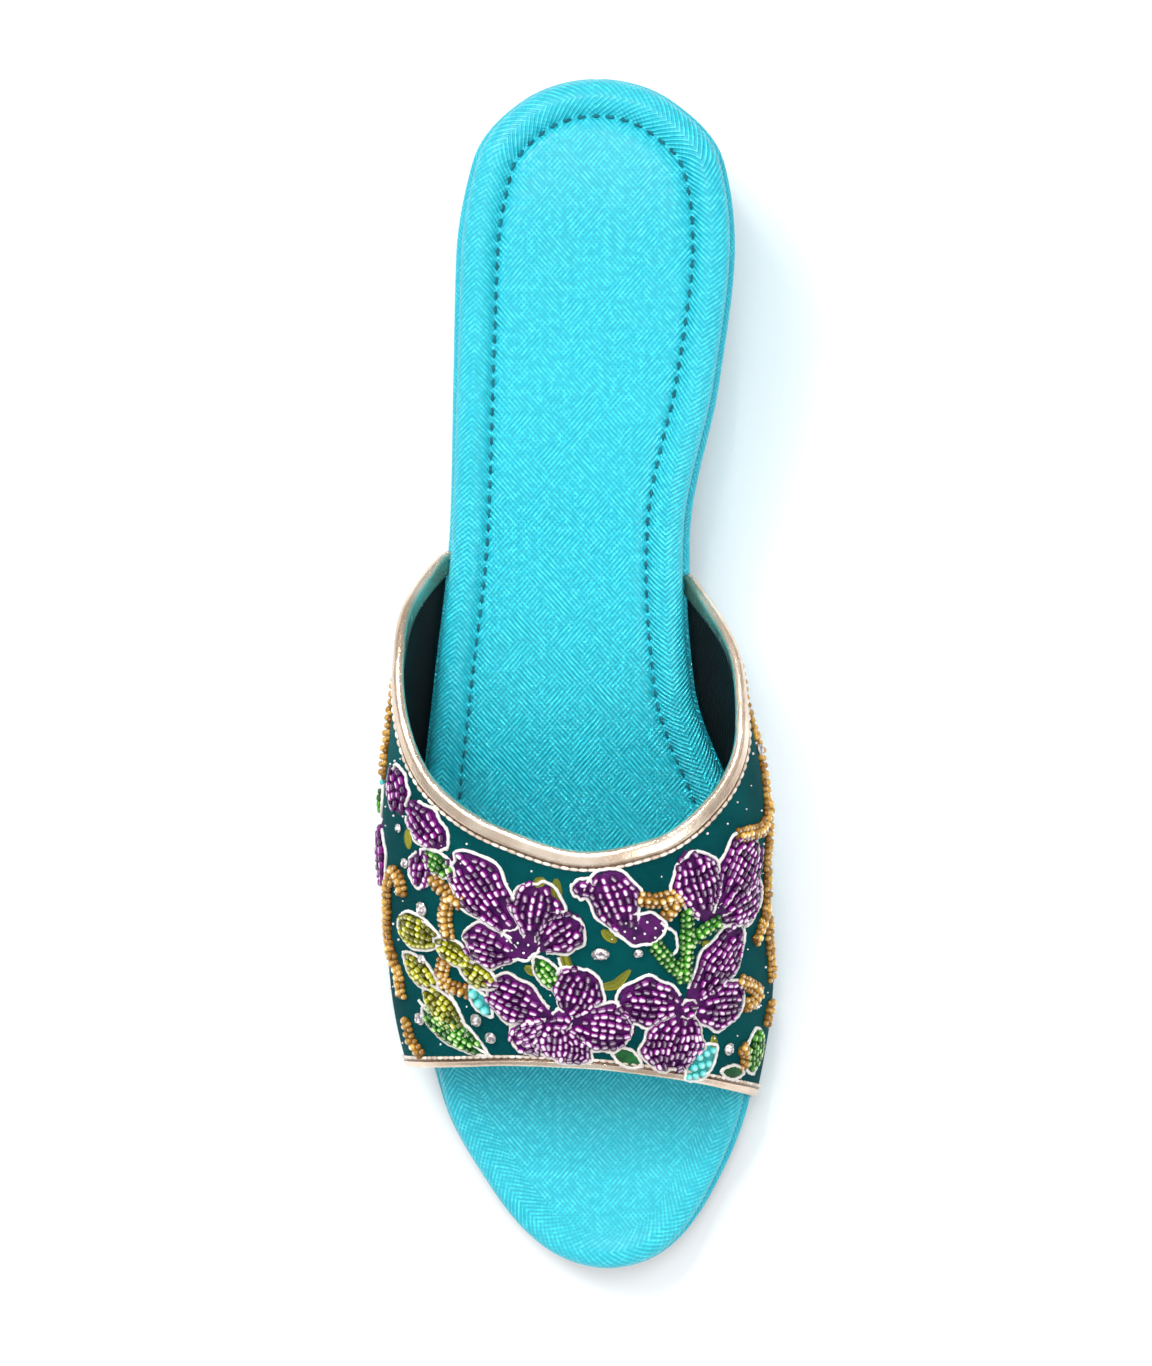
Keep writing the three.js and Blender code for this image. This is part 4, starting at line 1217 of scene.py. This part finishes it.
# %% Orchids
ORCHIDS = {
    "orchid_middle": [
        ((-27.0, 71.8), (-13.5, 70.6), 0.72, 0.5, 0, "dots"),
        ((-17.0, 71.6), (-36.4, 63.9), 0.47, 0.66, 0, "rows"),
        ((-17.0, 71.6), (-12.0, 66.2), 0.72, 0.66, 0, "rows"),
        ((-16.0, 71.9), (-1.8, 69.0), 0.78, 0.62, 0, "rows"),
        ((-17.6, 72.0), (-37.0, 70.9), 0.72, 0.66, -0.03, "rows"),
    ],
    "orchid_front": [
        ((-11.0, 77.4), (-14.4, 81.1), 2.1, 0.6, 0, "rows"),
        ((-11.5, 77.8), (-29.6, 79.9), 0.6, 0.6, 0, "rows"),
        ((-11.0, 77.6), (-34.2, 75.0), 0.64, 0.64, 0, "rows"),
        ((-8.6, 77.8), (-0.6, 73.5), 0.98, 0.64, 0, "rows"),
        ((-9.5, 77.7), (16.4, 78.7), 0.62, 0.58, 0, "rows"),
        ((-14.2, 77.7), (-6.0, 77.7), 0.86, 0.5, 0, "rows"),
    ],
    "orchid_inner": [
        ((33.4, 76.6), (31.2, 82.2), 1.2, 0.6, 0, "rows"),
        ((34.6, 76.5), (10.2, 75.9), 0.66, 0.6, 0, "rows"),
        ((33.6, 76.6), (58.0, 76.6), 0.68, 0.6, 0, "rows"),
        ((33.2, 76.6), (50.6, 70.2), 0.56, 0.6, 0.02, "rows"),
        ((31.4, 77.0), (38.4, 76.7), 0.85, 0.5, 0, "rows"),
    ],
    "orchid_funnel": [
        ((2.3, 66.9), (-3.6, 66.2), 1.0, 0.5, 0, "rows"),
        ((6.0, 69.6), (23.4, 69.9), 0.6, 0.56, 0.03, "dots"),
        ((13.2, 71.4), (4.6, 65.2), 0.58, 0.66, 0, "rows"),
    ],
    "orchid_bud": [
        ((36.0, 69.4), (62.4, 67.0), 0.56, 0.62, 0, "rows"),
        ((37.0, 70.0), (28.8, 63.6), 0.66, 0.62, 0, "rows"),
        ((36.2, 69.6), (57.4, 62.9), 0.66, 0.66, 0, "rows"),
    ],
    "orchid_outer": [
        ((-56.5, 60.9), (-60.2, 56.7), 0.72, 0.5, 0, "rows"),
        ((-53.1, 59.6), (-40.0, 63.4), 0.6, 0.5, 0, "rows"),
        ((-46.9, 63.4), (-49.4, 66.8), 0.75, 0.5, 0, "rows"),
    ],
    "orchid_edge": [
        ((-78, 61.2), (-78.6, 67.6), 0.58, 0.5, 0.12, "rows"),
        ((-77, 61.4), (-74, 67.4), 0.5, 0.5, -0.12, "rows"),
    ],
}
LEAVES = {
    "leaf_olive_long": [
        ((-61.5, 69.9), (-44.0, 71.2), 0.66, 0.42, 0, "rows"),
        ((-47.3, 71.0), (-36.0, 73.1), 0.6, 0.5, 0, "rows"),
        ((-41.0, 72.9), (-29.8, 75.0), 0.62, 0.5, 0, "rows"),
    ],
    "leaf_olive_short": [
        ((-61.5, 72.4), (-50.4, 75.4), 0.58, 0.5, 0, "rows"),
        ((-55.4, 74.9), (-45.8, 79.3), 0.54, 0.5, 0, "rows"),
    ],
    "leaf_green": [((-58.8, 77.1), (-39.0, 80.9), 0.44, 0.4, 0, "rows")],
    "leaf_small": [((-48.0, 63.6), (-36.6, 65.8), 0.5, 0.5, 0, "rows")],
    "leaf_inner": [((70.5, 79), (76.4, 83), 0.8, 0.5, 0, "rows")],
    "leaf_outer": [((-75.8, 58.4), (-76.8, 61.2), 0.56, 0.5, 0, "rows")],
    "leaf_middle": [((-16.2, 72.2), (-9.6, 75.2), 0.56, 0.5, 0, "rows")],
    "leaf_front": [((8.0, 80.2), (21.0, 81.6), 0.4, 0.5, 0, "plain")],
    "leaf_low": [((56, 82.4), (69.0, 82.8), 0.34, 0.5, 0, "plain")],
    "pearl_patch": [((40.2, 82.9), (50.8, 80.1), 0.78, 0.5, 0, "plain")],
    "pearl_drop": [((-39.4, 75.0), (-34.2, 77.5), 0.54, 0.5, 0, "plain")],
}
PAD_HEIGHT = 0.75
cords = Heap()
clear_beads = Heap()


def beaded(name, petals, satin_material, glass, slot, size, pitch, gap):
    """The pad, beads and cord of one flower or leaf."""
    bm = bmesh.new()
    heap = Heap()
    orchid = name.startswith("orchid")
    for layer, (*row, fill) in enumerate(petals):
        petal = Petal(*row, *((0.48, 0.08) if orchid else (0.75, 0.03)))
        height = PAD_HEIGHT + 0.12 * layer
        pad(bm, petal, height)
        if fill == "rows":
            bead_rows(heap, petal, pitch, gap, size, height)
        if fill == "dots":
            spaced_dots(clear_beads, petal, height)
        cord_round(cords, petal, 0.36, 0.16 if orchid and fill == "rows" else 0)
    bmesh.ops.remove_doubles(bm, verts=bm.verts, dist=1e-6)
    cushion = tidy_piece(name + "_satin", bm, satin_material)
    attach(cushion, "root")
    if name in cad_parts:
        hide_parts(name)
    if heap.things:
        heap.build(name + "_beads", glass, slot)
    return heap.things


sewn_beads = 0
for name, petals in ORCHIDS.items():
    sewn_beads += beaded(name, petals, PURPLE_SATIN, PURPLE_GLASS, "purple_beads", (0.86, 0.66, 0.6), 1.76, 1.5)
print("purple beads:", sewn_beads)

# %% Leaves and pearl patch
for name, petals in LEAVES.items():
    kind = (GREEN_SATIN, GREEN_GLASS, "green_beads")
    if "olive" in name:
        kind = (OLIVE_SATIN, OLIVE_GLASS, "olive_beads")
    if name.startswith("pearl"):
        kind = (AQUA_SATIN, AQUA_PEARL, "aqua_beads")
    sewn_beads += beaded(name, petals, *kind, (0.68, 0.64, 0.58), 1.4, 1.3)

# %% [markdown]
# Twigs and stems are worked solid with round beads: a padded core of thread along the line, and rows of
# beads side by side over it.

# %% Twigs and sprig
TWIGS = {
    "twig_collar": [[(14.2, 67.4), (19.8, 67.6), (27, 67.1)], [(26.2, 67.4), (24, 68.2), (22, 69)]],
    "twig_short": [[(-44.4, 65.9), (-39.2, 67.3), (-35, 68)], [(-39.4, 67.5), (-41.6, 69.1), (-41.9, 70.9)]],
    "twig_low": [[(-45.2, 72.8), (-48.4, 74.4)], [(-48.6, 74.6), (-44.1, 75.2), (-39.8, 75.4)]],
    "twig_tip": [[(54.4, 74.7), (61.6, 75.2), (68.6, 76)], [(68, 76.1), (63.1, 76.8), (59.6, 76.9)]],
    "twig_outer": [
        [(-61, 65.4), (-66.5, 66.8), (-67.5, 69), (-71, 71), (-70.5, 72.8), (-66, 74.2), (-67.5, 76.4)],
        [(-61.2, 65.4), (-57.4, 66.3), (-57.4, 67.6)],
        [(-71, 71), (-67.5, 73.2)],
    ],
    "twig_outer_low": [[(-68.4, 78.2), (-69.2, 79.8), (-65.5, 81.3)]],
    "twig_outer_high": [[(-87, 45.2), (-83, 47), (-80, 49.4), (-77.5, 52), (-76, 55), (-75.5, 58)]],
    "twig_inner": [
        [(76, 48.6), (74.5, 51), (73, 54), (71.5, 57), (69.5, 60), (64, 62), (55, 62.2), (46, 62.4)],
        [(69.5, 60), (69, 63), (69.5, 66), (68.5, 68.6), (65, 70.3), (60.5, 71.6)],
        [(68.5, 68.6), (72, 71), (76, 73), (79, 75.2)],
    ],
    "twig_inner_low": [[(80.6, 76.9), (79, 79)], [(63.9, 80.4), (67.4, 81.2), (68.4, 82.4)]],
}
SPRIG = [
    [(28.7, 68.4), (29.9, 70.6), (31.7, 74.6)],
    [(19.5, 71.1), (24.7, 72.6), (30.6, 73.9)],
    [(30.6, 71.3), (34.6, 70.3), (41.3, 69.3)],
]


def smooth_line(places, steps=40):
    """A rounded line through places on the chart."""
    points = np.array([chart(p) for p in places])
    run = np.concatenate([[0], np.cumsum(np.linalg.norm(np.diff(points, axis=0), axis=1))])
    at = np.linspace(0, run[-1], steps)
    line = np.stack([np.interp(at, run, points[:, k]) for k in range(2)], 1)
    for _ in range(6):
        line[1:-1] = (line[:-2] + 2 * line[1:-1] + line[2:]) / 4
    return line


def beaded_stem(name, stems, satin_material, glass, slot, width=2.9, bead=0.74):
    core, heap = Heap(), Heap()
    for stem in stems:
        line = smooth_line(stem)
        run = np.gradient(line, axis=0)
        aside = np.stack([-run[:, 1], run[:, 0]], 1)
        aside /= np.linalg.norm(aside, axis=1, keepdims=True)
        places, normals = sewn_on(line, 0.15)
        core.cord(places, normals, width * 0.42, 8, flat=0.6)
        for offset, lift, radius in ((-0.36, 0.45, 0.9 * bead), (0.36, 0.45, 0.9 * bead), (0, 0.95, 1.08 * bead)):
            row, up = sewn_on(line + aside * (offset * width), lift)
            # Painted light and shade: the top row takes higher tones than the side rows, so a twig shows lighter on
            # top and darker gold on its sides.
            start, painted_top_light = (0.5, 0) if offset else (0.1, 0.35)
            place, along, normal = evenly(row, up, radius * 2.04, start)
            place = place + rng.normal(0, 0.08, place.shape)
            vary = radius * (1 + rng.normal(0, 0.08, (len(place), 3)))
            heap.lay(ROUND_BEAD, place, along, normal, vary, rng.uniform(painted_top_light, 0.65 + painted_top_light, len(place)), 0.6)
            taken.append(place)
    thread = core.build(name + "_core", satin_material, slot)
    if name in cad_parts:
        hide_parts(name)
    heap.build(name + "_beads", glass, slot)
    return heap.things


for name, stems in TWIGS.items():
    sewn_beads += beaded_stem(name, stems, AMBER_SATIN, AMBER_GLASS, "amber_beads")
sewn_beads += beaded_stem("sprig", SPRIG, GREEN_SATIN, GREEN_GLASS, "green_beads")

# %% [markdown]
# Between the flowers the velvet carries loose lines of the same cream cord, short strokes of olive floss,
# aqua pearls, cut crystals in cup settings and a scatter of single clear beads.

# %% Loose cords and olive floss
LOOSE_CORDS = [
    [(-57.6, 69.3), (-49.9, 69.5), (-42.2, 71.3), (-30.2, 74.7)],
    [(-51.3, 73.7), (-48, 74.9), (-45.2, 76.7), (-44.6, 78.9)],
    [(-8.9, 72.3), (-8, 73.6), (-9.4, 74.9)],
    [(20.9, 69.4), (26.1, 70.3), (27.6, 71.7), (24.7, 72.6)],
    [(-59.5, 76.4), (-55, 78), (-48.6, 79.2), (-38.4, 81)],
]
FLOSS = [
    [(-14.1, 66.4), (-11.2, 65.8)],
    [(-8, 65.8), (-8.1, 67.9)],
    [(-7.5, 71.5), (-6.4, 73.1), (-3.6, 73.9)],
    [(-19.8, 73.2), (-16, 73.8)],
    [(4.3, 70), (8.4, 71)],
    [(3.1, 74.9), (8.9, 74.7), (13.2, 73.4)],
    [(36, 71.2), (41, 71.9)],
    [(48.2, 79.3), (50.9, 80.9)],
    [(-53.2, 63.6), (-53.8, 62)],
]
for places in LOOSE_CORDS:
    line, normals = sewn_on(smooth_line(places), 0.22)
    cords.cord(line, normals, 0.34, 7, twist=1.5, tone=0.7)
CREAM_CORD = sewing_thread("cream_cord", (0.66, 0.6, 0.55), (0.95, 0.93, 0.9), 0.5)
cords.build("couched_cord", CREAM_CORD, "velvet")

floss = Heap()
for places in FLOSS:
    chart_line = smooth_line(places, 24)
    run = np.gradient(chart_line, axis=0)
    aside = np.stack([-run[:, 1], run[:, 0]], 1) / np.linalg.norm(run, axis=1, keepdims=True)
    leaf = np.sin(np.linspace(0.12, np.pi - 0.12, 24)) ** 0.7
    for offset in (-0.8, -0.4, 0, 0.4, 0.8):
        line, normals = sewn_on(chart_line + aside * (offset * leaf[:, None]), 0.05)
        floss.cord(line, normals, 0.08 + 0.24 * leaf, 6, tone=rng.uniform(0, 1))
OLIVE_FLOSS = sewing_thread("olive_floss", (0.11, 0.12, 0.001), (0.3, 0.29, 0.004), 0.6)
floss.build("olive_floss", OLIVE_FLOSS, "velvet")

# %% Pearls, crystals and single beads
PEARLS = [
    (-38.1, 75.5, 1.1),
    (-37, 76.3, 1.1),
    (-35.6, 76.9, 1.05),
    (49, 80.5, 0.8),
    (46.2, 80.7, 0.9),
    (43.6, 81, 0.9),
    (48.2, 81.6, 0.9),
    (45.2, 81.7, 0.95),
    (42.4, 81.9, 0.9),
    (46.8, 82.4, 0.85),
    (43.8, 82.6, 0.85),
    (41.2, 82.7, 0.75),
    (-75.6, 58.3, 0.7),
]
CRYSTALS = [
    (-49.1, 68.5, 1.25, 1.5),
    (-39.8, 77.8, 1.15, 1.35),
    (-36.5, 79.3, 1.15, 1.15),
    (3.8, 71.9, 1.7, 1.25),
    (52.6, 69.7, 1, 1.3),
    (56.7, 80.5, 1.15, 1.25),
    (-60.8, 78, 1.25, 1.25),
    (15.1, 71.9, 0.9, 0.9),
    (70.5, 55.6, 1.2, 1.2),
    (-54.7, 64.8, 0.95, 1),
    (-57.2, 61.9, 0.8, 0.85),
    (-53.4, 72.8, 1, 1),
    (67.3, 77, 0.8, 0.8),
]


def one_by_one(rows, lift):
    """Places, an even direction along the vamp and normals for single things on the chart."""
    places, normals = sewn_on(np.array([chart(row[:2]) for row in rows]), lift)
    return places, np.tile([1.0, 0.0, 0.0], (len(rows), 1)), normals


pearls = Heap()
radii = np.array([row[2] for row in PEARLS])
places, along, normals = one_by_one(PEARLS, radii * 0.85)
pearls.lay(ROUND_BEAD, places, along, normals, np.stack([radii, radii, radii * 0.9], 1), np.full(len(radii), 0.6), 0.5)
pearls.build("pearls", AQUA_PEARL, "aqua_beads")
taken.append(places)


def cut_stone(bm):
    """A brilliant cut: girdle, sloping facets and a flat table."""
    bmesh.ops.create_cone(bm, cap_ends=True, segments=8, radius1=1, radius2=0.5, depth=0.8)
    bmesh.ops.translate(bm, verts=bm.verts, vec=(0, 0, 0.4))


def silver_cup(bm):
    """The setting: a low cup with four claws."""
    bmesh.ops.create_cone(bm, cap_ends=True, segments=16, radius1=0.85, radius2=1.12, depth=0.5)
    for quarter in range(4):
        claw = bmesh.ops.create_uvsphere(bm, u_segments=6, v_segments=4, radius=0.2)["verts"]
        turn = Matrix.Rotation(math.pi / 4 + quarter * math.pi / 2, 3, "Z")
        bmesh.ops.translate(bm, verts=claw, vec=turn @ Vector((0.93, 0, 0.42)))


crystals, cups = Heap(), Heap()
places, along, normals = one_by_one(CRYSTALS, 0.35)
halves = np.array([row[2:] for row in CRYSTALS])
tones = rng.uniform(0.2, 1, len(CRYSTALS))
cups.lay(template(silver_cup), places, along, normals, np.column_stack([halves, halves.mean(1)]), tones)
crystals.lay(
    template(cut_stone), places + normals * 0.1, along, normals, np.column_stack([halves, halves.mean(1)]), tones
)
taken.append(places)


def crystal_glass():
    crystal = Finish("crystal_glass")
    facets = crystal.noise(crystal.place(), 1500, 1)
    # Painted reflections: small patches of the colour are white and others dark, standing in for what the facets
    # mirror.
    colour = crystal.mix(facets.over(0.4, 0.6), (0.25, 0.2, 0.22), (1, 0.95, 0.96))
    crystal.shade(Base_Color=colour, Roughness=0.04 + facets * 0.06, Metallic=0.35)
    crystal.shade(Coat_Weight=1.0, Coat_Roughness=0.02)
    return crystal.material


def cup_silver():
    silver = Finish("cup_silver")
    wear_and_painted_light = silver.noise(silver.place(), 900, 2)
    silver.shade(Base_Color=silver.mix(wear_and_painted_light, (0.5, 0.47, 0.45), (0.85, 0.83, 0.8)), Metallic=0.85 + wear_and_painted_light * 0.1)
    silver.shade(Roughness=0.2 + wear_and_painted_light * 0.2)
    return silver.material


crystals.build("crystals", crystal_glass(), "aqua_beads", smooth=False)
cups.build("crystal_cups", cup_silver(), "metallic_leather")

# %% Scatter of single beads
SCATTER = 420
SCATTER_GAP = 3.1
CLEAR_OF_MOTIFS = 1.7
tries = np.column_stack([rng.uniform(-80, 80, SCATTER), rng.uniform(52, 82, SCATTER)])
spots, normals = sewn_on(np.array([chart(t) for t in tries]), 0.12)
others = np.concatenate(taken)
kept = []
for index, spot in enumerate(spots):
    limit = 65.8 - (abs(tries[index, 0]) / 82) ** 2 * 21
    clear = np.linalg.norm(others - spot, axis=1).min() > CLEAR_OF_MOTIFS
    apart = all(np.linalg.norm(spots[k] - spot) > SCATTER_GAP for k in kept)
    if clear and apart and limit < tries[index, 1] < 81:
        kept.append(index)
spots, normals = spots[kept], normals[kept]
along = np.tile([1.0, 0.0, 0.0], (len(kept), 1))
radii = rng.uniform(0.16, 0.3, (len(kept), 1)) * np.ones((1, 3))
clear_beads.lay(ROUND_BEAD, spots, along, normals, radii, np.ones(len(kept)), 0.0)
clear_beads.build("clear_beads", CLEAR_GLASS, "velvet")
print("beads sewn on:", sewn_beads, "single beads:", clear_beads.things)

# %% [markdown]
# The camera looks straight down from a metre, from between the two shoes of the pair, which is a little to
# the inner side of this one. It is turned to the shoe's middle, and its lens is longer, to frame one shoe.

# %% Camera
PHOTO_FOCAL_PX = 3777
PHOTO_HEIGHT_PX = 1366
SENSOR_MM = 36
ONE_SHOE_ZOOM = 1.22

camera_data = bpy.data.cameras.new("camera")
camera_data.sensor_width = SENSOR_MM
camera_data.lens = PHOTO_FOCAL_PX / PHOTO_HEIGHT_PX * SENSOR_MM * ONE_SHOE_ZOOM
camera = bpy.data.objects.new("camera", camera_data)
bpy.context.scene.collection.objects.link(camera)
camera.location = (0.0448, -0.0012, 1.0)
aim = Vector((0.0, 0.0, 0.03))
forward = (aim - camera.location).normalized()
right = forward.cross(Vector((0, 1, 0))).normalized()
up = right.cross(forward)
camera.rotation_euler = Matrix((right, up, -forward)).transposed().to_euler()
bpy.context.scene.camera = camera

# %% [markdown]
# A pale floor and soft studio light: one large window-like panel from the heel's side, a wider and weaker
# one from the toe, and a white surround that keeps the shadows faint. The surround is brightest overhead, so
# that rolled edges turn a little darker towards their sides.

# %% Floor and light
bm = bmesh.new()
bmesh.ops.create_grid(bm, x_segments=1, y_segments=1, size=3)
pale = Finish("pale_floor")
paper = pale.noise(pale.place(), 300, 2)
pale.shade(Base_Color=(0.98, 0.98, 0.985), Roughness=0.85 + paper * 0.08)
floor = tidy_piece("floor", bm, pale.material)


def softbox(name, place, size, power, aim=(0, 0, 0.02), spread=180):
    light = bpy.data.lights.new(name, "AREA")
    light.shape = "RECTANGLE"
    light.size, light.size_y = size
    light.energy = power
    light.spread = math.radians(spread)
    lamp = bpy.data.objects.new(name, light)
    bpy.context.scene.collection.objects.link(lamp)
    lamp.location = place
    lamp.rotation_euler = (Vector(aim) - Vector(place)).to_track_quat("-Z", "Y").to_euler()


HORIZON_LIGHT = 0.45
ZENITH_LIGHT = 1.03
softbox("key", (-0.42, 0.5, 0.95), (0.4, 0.4), 5.7)
softbox("fill", (0.6, -0.45, 0.8), (0.5, 0.5), 1.7)
softbox("top", (0, 0.25, 1.3), (0.3, 0.3), 2.5)
softbox("throat", (0, 0.42, 0.6), (0.1, 0.1), 0.017, (0, -0.02, 0.03), 14)
world = bpy.data.worlds.new("surround")
bpy.context.scene.world = world
world.use_nodes = True
nodes, links = world.node_tree.nodes, world.node_tree.links
direction = nodes.new("ShaderNodeTexCoord")
height = nodes.new("ShaderNodeSeparateXYZ")
strength = nodes.new("ShaderNodeMapRange")
links.new(direction.outputs["Generated"], height.inputs["Vector"])
links.new(height.outputs["Z"], strength.inputs["Value"])
links.new(strength.outputs["Result"], nodes["Background"].inputs["Strength"])
strength.inputs["To Min"].default_value = HORIZON_LIGHT
strength.inputs["To Max"].default_value = ZENITH_LIGHT
nodes["Background"].inputs["Color"].default_value = (0.97, 0.985, 1, 1)
